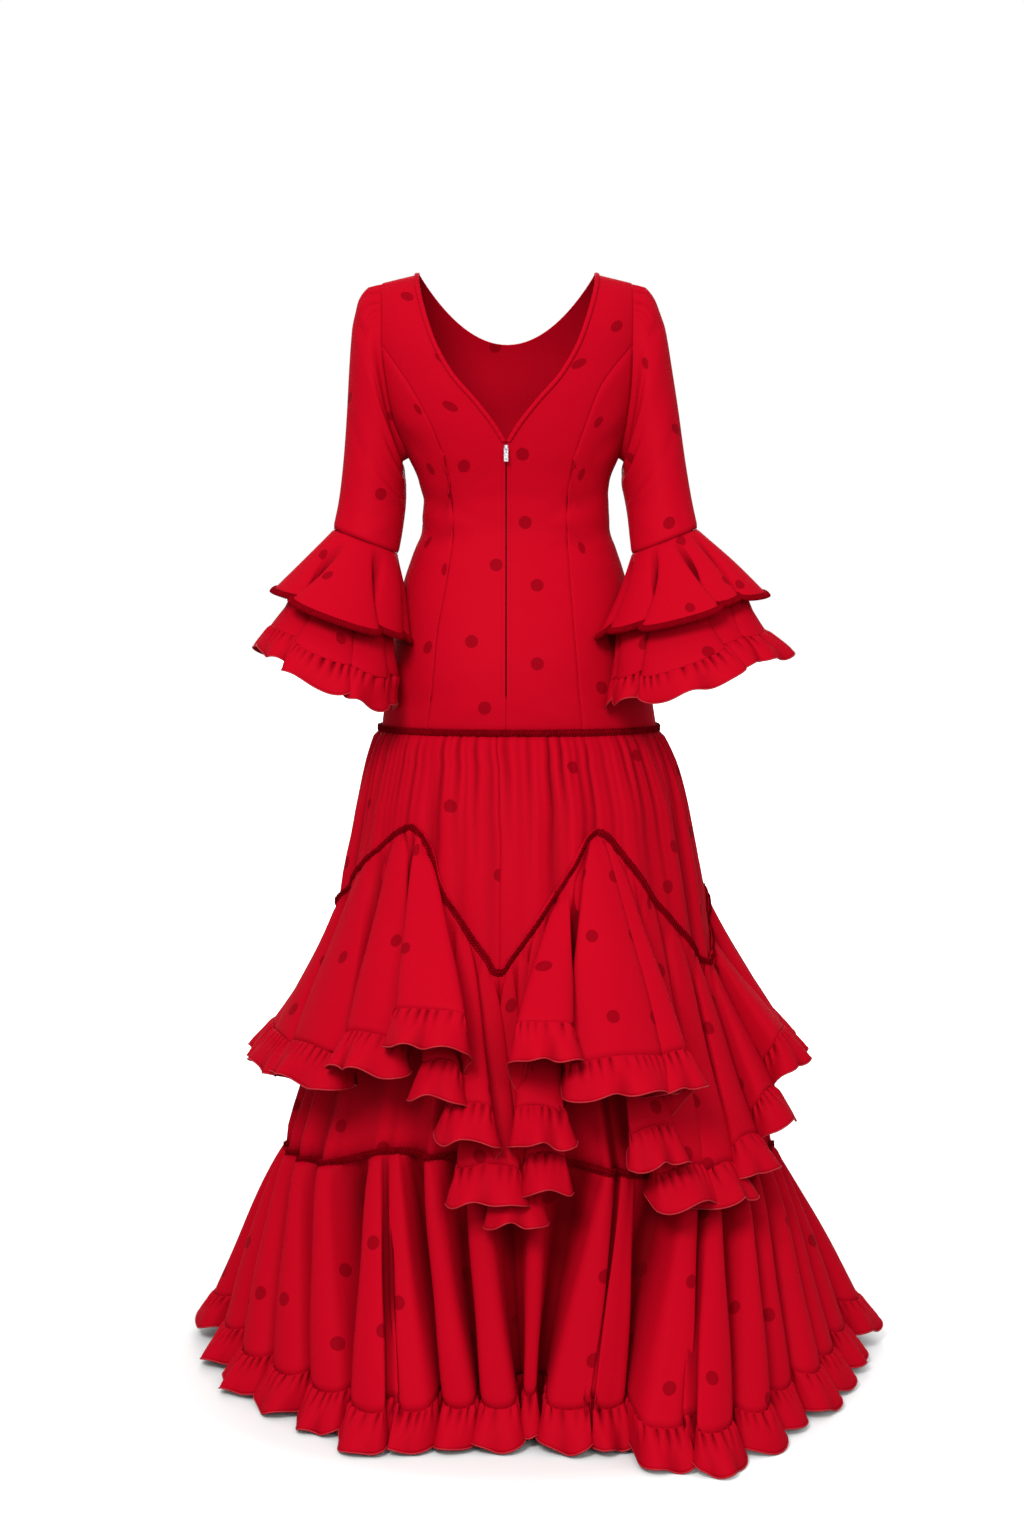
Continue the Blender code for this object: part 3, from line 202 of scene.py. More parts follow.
Section = namedtuple("Section", "z centre_x half_width back_depth front_depth power")
BODY_SECTIONS = (
    Section(-0.6184, -0.0166, 0.1868, 0.134, 0.119, 2.2),
    Section(-0.5813, -0.0157, 0.1818, 0.135, 0.121, 2.2),
    Section(-0.5400, -0.0130, 0.1761, 0.131, 0.122, 2.2),
    Section(-0.4936, -0.0130, 0.1663, 0.120, 0.120, 2.2),
    Section(-0.4447, -0.0116, 0.1582, 0.105, 0.115, 2.2),
    Section(-0.4091, -0.0112, 0.1483, 0.094, 0.110, 2.2),
    Section(-0.3735, -0.0119, 0.1360, 0.084, 0.104, 2.2),
    Section(-0.3461, -0.0123, 0.1270, 0.079, 0.100, 2.2),
    Section(-0.3146, -0.0122, 0.1260, 0.079, 0.101, 2.2),
    Section(-0.2830, -0.0098, 0.1295, 0.084, 0.110, 2.3),
    Section(-0.2480, -0.0088, 0.1438, 0.092, 0.122, 2.4),
    Section(-0.2000, -0.0040, 0.1660, 0.100, 0.126, 2.4),
    Section(-0.1500, -0.0020, 0.1800, 0.104, 0.118, 2.4),
    Section(-0.1000, 0.0000, 0.1860, 0.104, 0.108, 2.4),
    Section(-0.0500, 0.0000, 0.1880, 0.098, 0.096, 2.4),
    Section(0.0100, 0.0000, 0.1880, 0.088, 0.086, 2.4),
)
SKIRT_SECTIONS = (
    Section(-1.2000, -0.0300, 0.3130, 0.306, 0.296, 2.0),
    Section(-1.1630, -0.0290, 0.3090, 0.302, 0.290, 2.0),
    Section(-1.1040, -0.0270, 0.2900, 0.284, 0.270, 2.0),
    Section(-1.0000, -0.0250, 0.2640, 0.256, 0.240, 2.0),
    Section(-0.9000, -0.0235, 0.2480, 0.230, 0.214, 2.0),
    Section(-0.8009, -0.0220, 0.2329, 0.206, 0.190, 2.0),
    Section(-0.7639, -0.0220, 0.2253, 0.195, 0.180, 2.0),
    Section(-0.7159, -0.0215, 0.2158, 0.181, 0.166, 2.1),
    Section(-0.6639, -0.0195, 0.2031, 0.162, 0.148, 2.1),
    Section(-0.6400, -0.0178, 0.1950, 0.148, 0.134, 2.2),
    Section(-0.6184, -0.0166, 0.1868, 0.134, 0.119, 2.2),
)

# Princess seams of the bodice back seen square on: level, left, right
BackSeams = namedtuple("BackSeams", "z left right")
BACK_SEAMS = (
    BackSeams(-0.6184, 0.1065, -0.1000),
    BackSeams(-0.5600, 0.0990, -0.0950),
    BackSeams(-0.4850, 0.0920, -0.0890),
    BackSeams(-0.4180, 0.0800, -0.0840),
    BackSeams(-0.3680, 0.0730, -0.0810),
    BackSeams(-0.3400, 0.0720, -0.0800),
    BackSeams(-0.3080, 0.0750, -0.0810),
    BackSeams(-0.2600, 0.0830, -0.0890),
    BackSeams(-0.2080, 0.1030, -0.1060),
    BackSeams(-0.1600, 0.1290, -0.1250),
    BackSeams(-0.1000, 0.1690, -0.1690),
)

# Neck edge of the back: level, half width
NeckEdge = namedtuple("NeckEdge", "z half_width")
BACK_NECK = (
    NeckEdge(-0.2340, 0.0000),
    NeckEdge(-0.2130, 0.0130),
    NeckEdge(-0.1820, 0.0370),
    NeckEdge(-0.1410, 0.0720),
    NeckEdge(-0.0940, 0.0970),
    NeckEdge(-0.0470, 0.1120),
    NeckEdge(-0.0200, 0.1180),
    NeckEdge(0.0000, 0.1205),
)

# Zigzag seam of the middle flounce, as degrees round the skirt and level
SeamPoint = namedtuple("SeamPoint", "degrees z")
ZIGZAG = (
    SeamPoint(-70.0, -0.9200),
    SeamPoint(-45.0, -0.8350),
    SeamPoint(-24.0, -0.7380),
    SeamPoint(-8.0, -0.8200),
    SeamPoint(4.0, -0.8890),
    SeamPoint(7.5, -0.9080),
    SeamPoint(11.0, -0.8880),
    SeamPoint(22.0, -0.8250),
    SeamPoint(38.0, -0.7340),
    SeamPoint(62.0, -0.7900),
    SeamPoint(100.0, -0.8900),
    SeamPoint(125.0, -0.8200),
    SeamPoint(148.0, -0.7600),
    SeamPoint(180.0, -0.8900),
    SeamPoint(212.0, -0.7600),
    SeamPoint(240.0, -0.7700),
    SeamPoint(262.0, -0.8300),
)

# Seam of the bottom flounce, as degrees round the skirt and level
LOWER_SEAM = (
    SeamPoint(-90.0, -1.1800),
    SeamPoint(-32.0, -1.1620),
    SeamPoint(0.0, -1.1320),
    SeamPoint(30.0, -1.1320),
    SeamPoint(56.0, -1.1680),
    SeamPoint(90.0, -1.1860),
    SeamPoint(180.0, -1.1600),
)

# Lobes of each flounce from the back seam round the left: where a lobe hangs from, its crest and
# half width in degrees, reach of the crest and of the pleat after it, and level of the hem
Lobe = namedtuple("Lobe", "seam_deg crest_deg half_deg crest_reach pleat_reach hem_z")
MIDDLE_LOBES = (
    Lobe(10.5, 8.2, 6.4, 0.372, 0.334, -1.164),
    Lobe(18.0, 11.8, 4.6, 0.376, 0.332, -1.090),
    Lobe(24.5, 18.2, 3.8, 0.372, 0.332, -1.040),
    Lobe(34.0, 19.8, 7.4, 0.384, 0.326, -0.978),
    Lobe(44.0, 34.0, 7.3, 0.372, 0.322, -1.017),
    Lobe(60.0, 53.0, 9.6, 0.370, 0.320, -1.048),
    Lobe(79.0, 71.0, 7.6, 0.370, 0.318, -1.052),
    Lobe(98.0, 88.0, 7.6, 0.368, 0.318, -1.056),
    Lobe(111.0, 104.0, 7.2, 0.366, 0.316, -1.090),
    Lobe(124.0, 121.0, 7.4, 0.364, 0.312, -1.080),
    Lobe(139.5, 138.0, 7.4, 0.362, 0.310, -1.040),
    Lobe(155.5, 155.0, 7.0, 0.360, 0.308, -1.035),
    Lobe(171.5, 171.0, 7.0, 0.362, 0.308, -1.110),
    Lobe(187.0, 187.0, 7.0, 0.362, 0.308, -1.120),
    Lobe(202.5, 203.0, 7.4, 0.360, 0.308, -1.045),
    Lobe(219.0, 220.0, 7.6, 0.362, 0.310, -1.030),
    Lobe(236.0, 238.0, 7.8, 0.364, 0.314, -1.055),
    Lobe(253.0, 256.0, 7.6, 0.368, 0.320, -1.050),
    Lobe(267.0, 271.0, 6.8, 0.370, 0.324, -1.060),
    Lobe(278.5, 284.5, 6.2, 0.374, 0.328, -1.053),
    Lobe(288.0, 296.0, 5.0, 0.374, 0.330, -1.115),
    Lobe(299.0, 308.0, 4.8, 0.378, 0.334, -1.160),
    Lobe(309.5, 317.0, 4.8, 0.380, 0.336, -1.185),
    Lobe(319.0, 327.0, 6.2, 0.374, 0.334, -1.180),
    Lobe(326.5, 334.0, 5.2, 0.368, 0.330, -1.127),
    Lobe(331.5, 330.2, 3.8, 0.380, 0.326, -1.036),
    Lobe(336.5, 342.5, 9.6, 0.388, 0.324, -1.033),
    Lobe(348.5, 357.0, 5.6, 0.386, 0.328, -0.989),
    Lobe(356.0, 357.8, 4.9, 0.374, 0.332, -1.092),
    Lobe(361.0, 356.4, 4.0, 0.370, 0.332, -1.150),
    Lobe(364.8, 362.8, 4.8, 0.366, 0.332, -1.190),
)
MIDDLE_GORES = (0, 7, 14, 21, 31)
BOTTOM_LOBES = (
    Lobe(12.3, 7.0, 3.2, 0.410, 0.336, -1.447),
    Lobe(22.6, 14.1, 3.0, 0.418, 0.336, -1.447),
    Lobe(33.2, 20.9, 2.8, 0.440, 0.430, -1.448),
    Lobe(38.2, 28.2, 3.7, 0.462, 0.342, -1.449),
    Lobe(54.0, 38.9, 4.2, 0.440, 0.340, -1.448),
    Lobe(65.5, 50.2, 4.4, 0.438, 0.336, -1.447),
    Lobe(76.5, 61.5, 4.7, 0.444, 0.336, -1.446),
    Lobe(87.0, 76.5, 5.1, 0.444, 0.336, -1.444),
    Lobe(97.4, 92.0, 5.1, 0.462, 0.340, -1.436),
    Lobe(111.7, 107.0, 4.9, 0.456, 0.340, -1.442),
    Lobe(126.2, 122.5, 5.1, 0.454, 0.338, -1.446),
    Lobe(140.7, 138.0, 4.9, 0.452, 0.336, -1.447),
    Lobe(155.2, 153.5, 5.1, 0.452, 0.336, -1.446),
    Lobe(169.5, 168.5, 4.8, 0.450, 0.334, -1.446),
    Lobe(183.8, 183.5, 5.0, 0.452, 0.334, -1.447),
    Lobe(198.8, 198.5, 4.9, 0.452, 0.334, -1.446),
    Lobe(214.2, 213.5, 5.1, 0.454, 0.336, -1.445),
    Lobe(229.5, 228.5, 5.0, 0.456, 0.338, -1.446),
    Lobe(242.5, 243.5, 5.1, 0.456, 0.338, -1.445),
    Lobe(255.5, 258.0, 4.8, 0.452, 0.336, -1.442),
    Lobe(267.0, 272.5, 5.0, 0.464, 0.340, -1.432),
    Lobe(276.5, 286.0, 4.4, 0.446, 0.336, -1.443),
    Lobe(284.5, 298.0, 3.9, 0.450, 0.338, -1.445),
    Lobe(292.0, 307.3, 3.5, 0.462, 0.342, -1.446),
    Lobe(299.0, 316.3, 3.5, 0.462, 0.344, -1.448),
    Lobe(306.0, 325.4, 3.4, 0.494, 0.356, -1.449),
    Lobe(315.0, 334.4, 3.5, 0.516, 0.478, -1.450),
    Lobe(321.5, 341.2, 3.3, 0.486, 0.358, -1.449),
    Lobe(337.0, 347.4, 2.9, 0.418, 0.399, -1.446),
    Lobe(342.5, 354.8, 3.6, 0.414, 0.334, -1.446),
    Lobe(358.0, 361.4, 1.3, 0.384, 0.336, -1.440),
)
BOTTOM_GORES = (0, 8, 15, 22, 31)

# Rings of a sleeve and its cuff: outermost and innermost point, depth centre, half depth
ArmRing = namedtuple("ArmRing", "outer_x outer_z inner_x inner_z centre_y half_depth")
LEFT_SLEEVE = (
    ArmRing(0.1959, -0.0188, 0.1384, -0.2557, 0.001, 0.058),
    ArmRing(0.2068, -0.0421, 0.1390, -0.2721, 0.001, 0.062),
    ArmRing(0.2115, -0.0752, 0.1383, -0.2887, 0.003, 0.061),
    ArmRing(0.2154, -0.1330, 0.1381, -0.3011, 0.006, 0.057),
    ArmRing(0.2178, -0.1880, 0.1386, -0.3150, 0.010, 0.054),
    ArmRing(0.2214, -0.2484, 0.1403, -0.3315, 0.016, 0.050),
    ArmRing(0.2270, -0.3060, 0.1434, -0.3549, 0.023, 0.047),
    ArmRing(0.2346, -0.3483, 0.1478, -0.3808, 0.032, 0.046),
)
RIGHT_SLEEVE = (
    ArmRing(0.1944, -0.0188, 0.1547, -0.2585, 0.001, 0.058),
    ArmRing(0.2067, -0.0422, 0.1560, -0.2722, 0.002, 0.062),
    ArmRing(0.2160, -0.0756, 0.1572, -0.2888, 0.006, 0.061),
    ArmRing(0.2251, -0.1336, 0.1596, -0.3014, 0.012, 0.057),
    ArmRing(0.2327, -0.1888, 0.1619, -0.3153, 0.020, 0.054),
    ArmRing(0.2405, -0.2548, 0.1640, -0.3321, 0.032, 0.050),
    ArmRing(0.2484, -0.3095, 0.1660, -0.3554, 0.044, 0.047),
    ArmRing(0.2555, -0.3483, 0.1681, -0.3813, 0.057, 0.046),
)
LEFT_CUFF = (
    ArmRing(0.2344, -0.3483, 0.1477, -0.3809, 0.032, 0.046),
    ArmRing(0.2722, -0.3921, 0.1407, -0.4337, 0.062, 0.056),
    ArmRing(0.3036, -0.4310, 0.1418, -0.4894, 0.094, 0.070),
)
LEFT_LOWER_CUFF = (
    ArmRing(0.2870, -0.4500, 0.1555, -0.5050, 0.098, 0.048),
    ArmRing(0.3040, -0.4750, 0.1535, -0.5343, 0.098, 0.066),
    ArmRing(0.3201, -0.5038, 0.1573, -0.5726, 0.100, 0.076),
)
RIGHT_CUFF = (
    ArmRing(0.2553, -0.3484, 0.1680, -0.3813, 0.057, 0.046),
    ArmRing(0.2977, -0.3925, 0.1529, -0.4337, 0.092, 0.055),
    ArmRing(0.3290, -0.4336, 0.1331, -0.4836, 0.124, 0.064),
)
RIGHT_LOWER_CUFF = (
    ArmRing(0.3100, -0.4530, 0.1500, -0.5080, 0.133, 0.044),
    ArmRing(0.3240, -0.4783, 0.1480, -0.5387, 0.130, 0.061),
    ArmRing(0.3520, -0.5071, 0.1420, -0.5688, 0.134, 0.070),
)

# Lobes round a cuff: crest and half width as shares of a turn, and how far the lobe lifts
CuffLobe = namedtuple("CuffLobe", "turn half lift")
LEFT_UPPER_LOBES = (
    CuffLobe(0.065, 0.088, 0.60),
    CuffLobe(0.248, 0.108, 1.30),
    CuffLobe(0.415, 0.076, 0.60),
    CuffLobe(0.575, 0.080, 1.00),
    CuffLobe(0.740, 0.084, 1.00),
    CuffLobe(0.895, 0.080, 1.00),
)
LEFT_LOWER_LOBES = (
    CuffLobe(0.085, 0.094, 0.60),
    CuffLobe(0.235, 0.074, 1.30),
    CuffLobe(0.350, 0.060, 1.20),
    CuffLobe(0.465, 0.060, 0.60),
    CuffLobe(0.600, 0.074, 1.00),
    CuffLobe(0.755, 0.082, 1.00),
    CuffLobe(0.915, 0.076, 1.00),
)
RIGHT_UPPER_LOBES = (
    CuffLobe(0.068, 0.056, 1.00),
    CuffLobe(0.166, 0.044, 0.60),
    CuffLobe(0.262, 0.078, 1.35),
    CuffLobe(0.390, 0.078, 0.60),
    CuffLobe(0.560, 0.082, 1.00),
    CuffLobe(0.740, 0.088, 1.00),
    CuffLobe(0.905, 0.080, 1.00),
)
RIGHT_LOWER_LOBES = (
    CuffLobe(0.055, 0.072, 1.00),
    CuffLobe(0.160, 0.058, 0.60),
    CuffLobe(0.268, 0.092, 1.35),
    CuffLobe(0.420, 0.078, 0.60),
    CuffLobe(0.585, 0.080, 1.00),
    CuffLobe(0.745, 0.082, 1.00),
    CuffLobe(0.905, 0.076, 1.00),
)
CUFF_WAVE = 0.0190
CUFF_PLEAT_HALF = 0.010
CUFF_PLEAT_HEIGHT = -1.3
CUFF_SHOULDER = 0.5
CUFF_PUFF = 0.15
CUFF_JOIN_DEPTH = 0.0028
UPPER_DROOP, LOWER_DROOP = 0.010, 0.013
UPPER_CUFF_WAVES = (0.0, 0.45, 1.0)
LOWER_CUFF_WAVES = (0.75, 0.95, 1.05)
CUFF_BRAID_HEIGHT = 0.0104
Arm = namedtuple("Arm", "side label sleeve cuff lobes lower_cuff lower_lobes")
ARMS = (
    Arm(1, "left", LEFT_SLEEVE, LEFT_CUFF, LEFT_UPPER_LOBES, LEFT_LOWER_CUFF, LEFT_LOWER_LOBES),
    Arm(-1, "right", RIGHT_SLEEVE, RIGHT_CUFF, RIGHT_UPPER_LOBES, RIGHT_LOWER_CUFF, RIGHT_LOWER_LOBES),
)

# Waves that make folds uneven, by the radian round the skirt or by the metre along a seam
GATHER_WAVER = (Wave(37.0, 1.3, 0.0), Wave(91.0, 0.8, 1.7))
GATHER_SIZES = (Wave(53.0, 0.35, 0.6), Wave(137.0, 0.25, 0.0))
FOLD_WAVER = (Wave(23.0, 1.3, 0.0), Wave(61.0, 0.7, 0.0))
FLOUNCE_WAVER = (Wave(31.0, 0.8, 0.0),)
FLOUNCE_GATHER_PITCH, FLOUNCE_GATHER_DEPTH = 0.021, 0.0014
FLOUNCE_GATHER_START, FLOUNCE_GATHER_FADE = 0.010, 0.024
SWAY_DEPTH = 0.0016
SWAY_DOWN, SWAY_ALONG = 21.0, 9.0
HEAD_WAVER = (Wave(44.0, 1.9, 0.0),)
UNEVEN = (Wave(3, 0.55, 0.4), Wave(7, 0.45, 2.1), Wave(13, 0.40, 4.0))
UNEVEN_SIZE = (Wave(5, 0.5, 1.0), Wave(11, 0.5, 3.3), Wave(17, 0.4, 0.7))
LONG_GATHERS = (Wave(19, 0.45, 0.9), Wave(27, 0.35, 2.6), Wave(34, 0.35, 5.0))
GATHERS_ROUND = 62
FINE_ROUND = 101
GATHER_BEND, FINE_BEND = 2.4, -2.0
TIGHT_HEIGHT, FINE_HEIGHT = 0.7, 0.6
UNEVEN_REACH, UNEVEN_HEIGHT = 0.35, 0.4

# Gathers down the skirt: share of the fall, tight gathers, long gathers, deep folds
GatherRow = namedtuple("GatherRow", "share tight loose deep")
GATHER_ROWS = (
    GatherRow(-0.05, 0.0000, 0.0000, 0.0000),
    GatherRow(0.00, 0.0008, 0.0000, 0.0000),
    GatherRow(0.03, 0.0062, 0.0006, 0.0000),
    GatherRow(0.10, 0.0058, 0.0040, 0.0000),
    GatherRow(0.20, 0.0034, 0.0090, 0.0000),
    GatherRow(0.35, 0.0014, 0.0120, 0.0000),
    GatherRow(0.60, 0.0000, 0.0090, 0.0024),
    GatherRow(0.80, 0.0000, 0.0060, 0.0095),
    GatherRow(1.00, 0.0000, 0.0040, 0.0180),
    GatherRow(1.40, 0.0000, 0.0040, 0.0180),
)

# Creases: from (across, level) to (across, level), half width, height, bow of the line
Crease = namedtuple("Crease", "from_u from_v to_u to_v width depth bow")
BACK_CREASES = (
    Crease(0.128, -0.300, 0.050, -0.338, 0.0100, -0.0022, 0.08),
    Crease(0.122, -0.330, 0.036, -0.352, 0.0085, 0.0018, 0.06),
    Crease(0.124, -0.352, 0.048, -0.372, 0.0090, -0.0020, 0.05),
    Crease(0.130, -0.382, 0.060, -0.392, 0.0100, 0.0014, -0.04),
    Crease(-0.142, -0.296, -0.056, -0.336, 0.0100, -0.0020, -0.08),
    Crease(-0.138, -0.334, -0.040, -0.350, 0.0090, 0.0017, -0.05),
    Crease(-0.138, -0.360, -0.058, -0.378, 0.0090, -0.0020, -0.06),
    Crease(-0.148, -0.398, -0.070, -0.396, 0.0110, 0.0013, 0.04),
    Crease(0.150, -0.215, 0.104, -0.262, 0.0095, -0.0024, 0.10),
    Crease(0.158, -0.190, 0.122, -0.222, 0.0080, 0.0016, 0.10),
    Crease(-0.160, -0.216, -0.112, -0.266, 0.0095, -0.0022, -0.10),
    Crease(-0.166, -0.186, -0.128, -0.226, 0.0080, 0.0016, -0.10),
    Crease(0.016, -0.270, 0.052, -0.292, 0.0070, -0.0009, 0.06),
    Crease(-0.014, -0.300, -0.050, -0.318, 0.0070, -0.0009, 0.05),
    Crease(0.014, -0.420, 0.058, -0.438, 0.0080, -0.0010, 0.06),
    Crease(-0.014, -0.452, -0.062, -0.470, 0.0085, -0.0011, 0.06),
    Crease(0.060, -0.566, 0.150, -0.600, 0.0120, -0.0014, -0.10),
    Crease(-0.070, -0.560, -0.160, -0.596, 0.0120, -0.0014, 0.10),
    Crease(0.020, -0.585, 0.075, -0.606, 0.0090, 0.0011, -0.08),
    Crease(-0.030, -0.590, -0.090, -0.608, 0.0090, 0.0011, 0.08),
)
FRONT_CREASES = (
    Crease(0.126, -0.305, 0.040, -0.345, 0.0100, -0.0020, 0.08),
    Crease(0.122, -0.345, 0.046, -0.362, 0.0090, 0.0016, 0.05),
    Crease(-0.140, -0.300, -0.050, -0.340, 0.0100, -0.0020, -0.08),
    Crease(-0.138, -0.348, -0.056, -0.366, 0.0090, 0.0016, -0.05),
    Crease(0.060, -0.430, 0.120, -0.470, 0.0120, -0.0012, 0.05),
    Crease(-0.070, -0.440, -0.130, -0.476, 0.0120, -0.0012, -0.05),
    Crease(0.070, -0.120, 0.140, -0.170, 0.0110, -0.0015, 0.10),
    Crease(-0.070, -0.120, -0.146, -0.168, 0.0110, -0.0015, -0.10),
)

# Sleeve creases: turn and ring are both read as metres of cloth, 0.36 round and 0.05 a ring
SLEEVE_CREASES = (
    Crease(0.172, 0.012, 0.088, 0.058, 0.0080, -0.0036, 0.12),
    Crease(0.176, 0.034, 0.082, 0.092, 0.0085, 0.0030, 0.12),
    Crease(0.174, 0.058, 0.096, 0.118, 0.0080, -0.0034, 0.10),
    Crease(0.164, 0.090, 0.104, 0.146, 0.0090, 0.0022, 0.08),
    Crease(0.060, 0.020, 0.034, 0.082, 0.0085, -0.0022, 0.08),
    Crease(0.158, 0.186, 0.088, 0.214, 0.0090, -0.0026, 0.06),
    Crease(0.152, 0.212, 0.078, 0.236, 0.0080, 0.0022, 0.05),
    Crease(0.150, 0.236, 0.092, 0.262, 0.0085, -0.0020, 0.05),
    Crease(0.034, 0.196, 0.078, 0.228, 0.0090, -0.0016, -0.06),
    Crease(0.130, 0.292, 0.088, 0.334, 0.0100, 0.0015, 0.05),
    Crease(0.060, 0.300, 0.050, 0.352, 0.0100, -0.0013, 0.03),
    Crease(0.190, 0.020, 0.262, 0.070, 0.0085, -0.0030, -0.10),
    Crease(0.192, 0.052, 0.270, 0.104, 0.0085, 0.0024, -0.08),
    Crease(0.200, 0.196, 0.266, 0.222, 0.0090, -0.0022, -0.05),
    Crease(0.320, 0.120, 0.300, 0.190, 0.0110, -0.0014, 0.05),
)
SLEEVE_ROUND = 0.36
SLEEVE_RING = 0.05

# Sleeve head: ring, share of the arm ring against the armhole, step out of it, gather height
HeadRow = namedtuple("HeadRow", "ring blend step_out gather")
SLEEVE_HEAD = (
    HeadRow(-1.0, 0.00, 0.0006, 0.0006),
    HeadRow(-0.6, 0.18, 0.0052, 0.0016),
    HeadRow(0.0, 0.45, 0.0120, 0.0015),
    HeadRow(1.0, 0.80, 0.0180, 0.0005),
    HeadRow(2.0, 1.00, 0.0000, 0.0000),
    HeadRow(3.0, 1.00, 0.0000, 0.0000),
)
HEAD_GATHERS = 30
HEAD_GATHER_SHARE = 0.6
HEAD_REACH, HEAD_RAMP = 0.20, 0.08

# Where on the printed cloth the dots of a piece start, and the step to the next piece of its kind
DotShift = namedtuple("DotShift", "start step")
DOT_SHIFTS = {
    "bodice_back": DotShift(0.31, 0.37),
    "bodice_side_back": DotShift(0.83, 0.41),
    "bodice_side_front": DotShift(1.00, 0.41),
    "bodice_front": DotShift(1.90, 0.00),
    "middle_flounce": DotShift(0.13, 0.53),
    "bottom_flounce": DotShift(0.71, 0.53),
    "under_skirt": DotShift(2.30, 0.61),
    "sleeve": DotShift(3.50, -0.80),
    "cuff_flounce": DotShift(4.90, -1.40),
    "cuff_lower_flounce": DotShift(6.20, -2.00),
}

# Grain of a plain material: scale, detail and breakup of its noise, scale of a separate tone or 0,
# height and strength of its relief, roughness and how far that varies
Grain = namedtuple("Grain", "scale detail breakup tone_scale relief strength rough rough_spread")
THREAD_GRAIN = Grain(700.0, 2.0, 0.5, 0.0, 0.0003, 0.6, 0.55, 0.10)
GIMP_GRAIN = Grain(900.0, 2.0, 0.6, 90.0, 0.0003, 0.7, 0.60, 0.15)
TAPE_GRAIN = Grain(1200.0, 2.0, 0.5, 0.0, 0.0003, 0.6, 0.70, 0.10)
METAL_GRAIN = Grain(420.0, 4.0, 0.6, 0.0, 0.00004, 0.4, 0.20, 0.16)
DOT_SCATTER, DOT_SHARPNESS = 0.55, 160.0
PATCH_SCALE, GRAIN_SCALE, SLUB_SCALE = 5.0, 1500.0, 260.0
PATCH_ROUGHNESS = 0.10
GRAIN_HEIGHT, SLUB_HEIGHT = 0.7, 0.5
CREPE_RELIEF, CREPE_STRENGTH = 0.00012, 0.55
SHEEN_TINT = (0.75, 0.015, 0.05, 1.0)
FLOOR_PATCH_SCALE, FLOOR_PATCH_TONE = 1.5, 1.02


def lerp(start, end, part):
    """Value part of the way from a start to an end."""
    return start + (end - start) * part


def signed_power(value, power):
    """A power of the size of a value that keeps its sign."""
    return np.copysign(np.abs(value) ** power, value)


class Table:
    """Rows of numbers, read between the rows by smooth steps that never overshoot."""

    def __init__(self, rows, turns=False):
        data = np.array(sorted(tuple(row) for row in rows), dtype=float)
        if turns:
            step = np.zeros(data.shape[1])
            step[0] = 360.0
            data = np.concatenate([data + step * turn for turn in (-1, 0, 1, 2)])
        self.keys, self.values = data[:, 0], data[:, 1:]
        self.spans = np.diff(self.keys)[:, None]
        self.steps = np.diff(self.values, axis=0) / self.spans
        before, after = self.steps[:-1], self.steps[1:]
        same_way = before * after > 0
        total = np.where(same_way, before + after, 1.0)
        middle = np.where(same_way, 2 * before * after / total, 0.0)
        self.start_slopes = np.concatenate([self.steps[:1], middle])
        self.end_slopes = np.concatenate([middle, self.steps[-1:]])

    def __call__(self, key):
        key = np.clip(np.asarray(key, dtype=float), self.keys[0], self.keys[-1])
        index = np.clip(np.searchsorted(self.keys, key, "right") - 1, 0, len(self.keys) - 2)
        part = ((key - self.keys[index]) / self.spans[index, 0])[..., None]
        square, cube = part * part, part * part * part
        return (
            (2 * cube - 3 * square + 1) * self.values[index]
            + (cube - 2 * square + part) * self.spans[index] * self.start_slopes[index]
            + (3 * square - 2 * cube) * self.values[index + 1]
            + (cube - square) * self.spans[index] * self.end_slopes[index]
        )

    def one(self, key):
        """The only value, or the first, that the rows hold."""
        return self(key)[..., 0]


BODY_TABLE = Table(BODY_SECTIONS)
SKIRT_TABLE = Table(SKIRT_SECTIONS)
SEAM_TABLE = Table(BACK_SEAMS)
NECK_TABLE = Table(BACK_NECK)
ZIGZAG_TABLE = Table(ZIGZAG, turns=True)
LOWER_TABLE = Table(LOWER_SEAM, turns=True)


def direction(vectors):
    """Vectors of length 1."""
    return vectors / np.maximum(np.linalg.norm(vectors, axis=-1, keepdims=True), 1e-12)


def radial(degrees):
    """Level direction away from the middle of the dress."""
    angle = np.radians(degrees)
    return np.stack([np.sin(angle), np.cos(angle), np.zeros_like(angle)], -1)


def section_point(table, degrees, z, outward=0.0):
    """Point of a form that its level sections give, moved out level."""
    degrees, z = np.broadcast_arrays(np.asarray(degrees, float), np.asarray(z, float))
    centre_x, half_width, back, front, power = np.moveaxis(table(z), -1, 0)
    angle = np.radians(degrees)
    depth = np.where(np.cos(angle) > 0, back, front)
    x = centre_x + (half_width + outward) * signed_power(np.sin(angle), 2 / power)
    y = (depth + outward) * signed_power(np.cos(angle), 2 / power)
    return np.stack([x, y, z], -1)


# Bodice form


def shoulder_height(x):
    """Level of the shoulder seam, which drops from the neck to the shoulder tip."""
    rise = (SHOULDER_TIP_X - np.abs(x)) / (SHOULDER_TIP_X - NECK_HALF_WIDTH)
    return SHOULDER_DROP * (rise - 1.0)


def bodice_point(degrees, z):
    """The body form, closed over towards the shoulder seam."""
    point = section_point(BODY_TABLE, degrees, z)
    top = shoulder_height(point[..., 0])
    climb = np.clip((point[..., 2] - SHOULDER_ROUND_Z) / (top - SHOULDER_ROUND_Z), 0.0, 1.0)
    dome = np.where(point[..., 1] > 0, BACK_DOME, FRONT_DOME)
    point[..., 1] *= np.maximum(0.0, 1.0 - climb**SHOULDER_POWER) ** dome
    return point


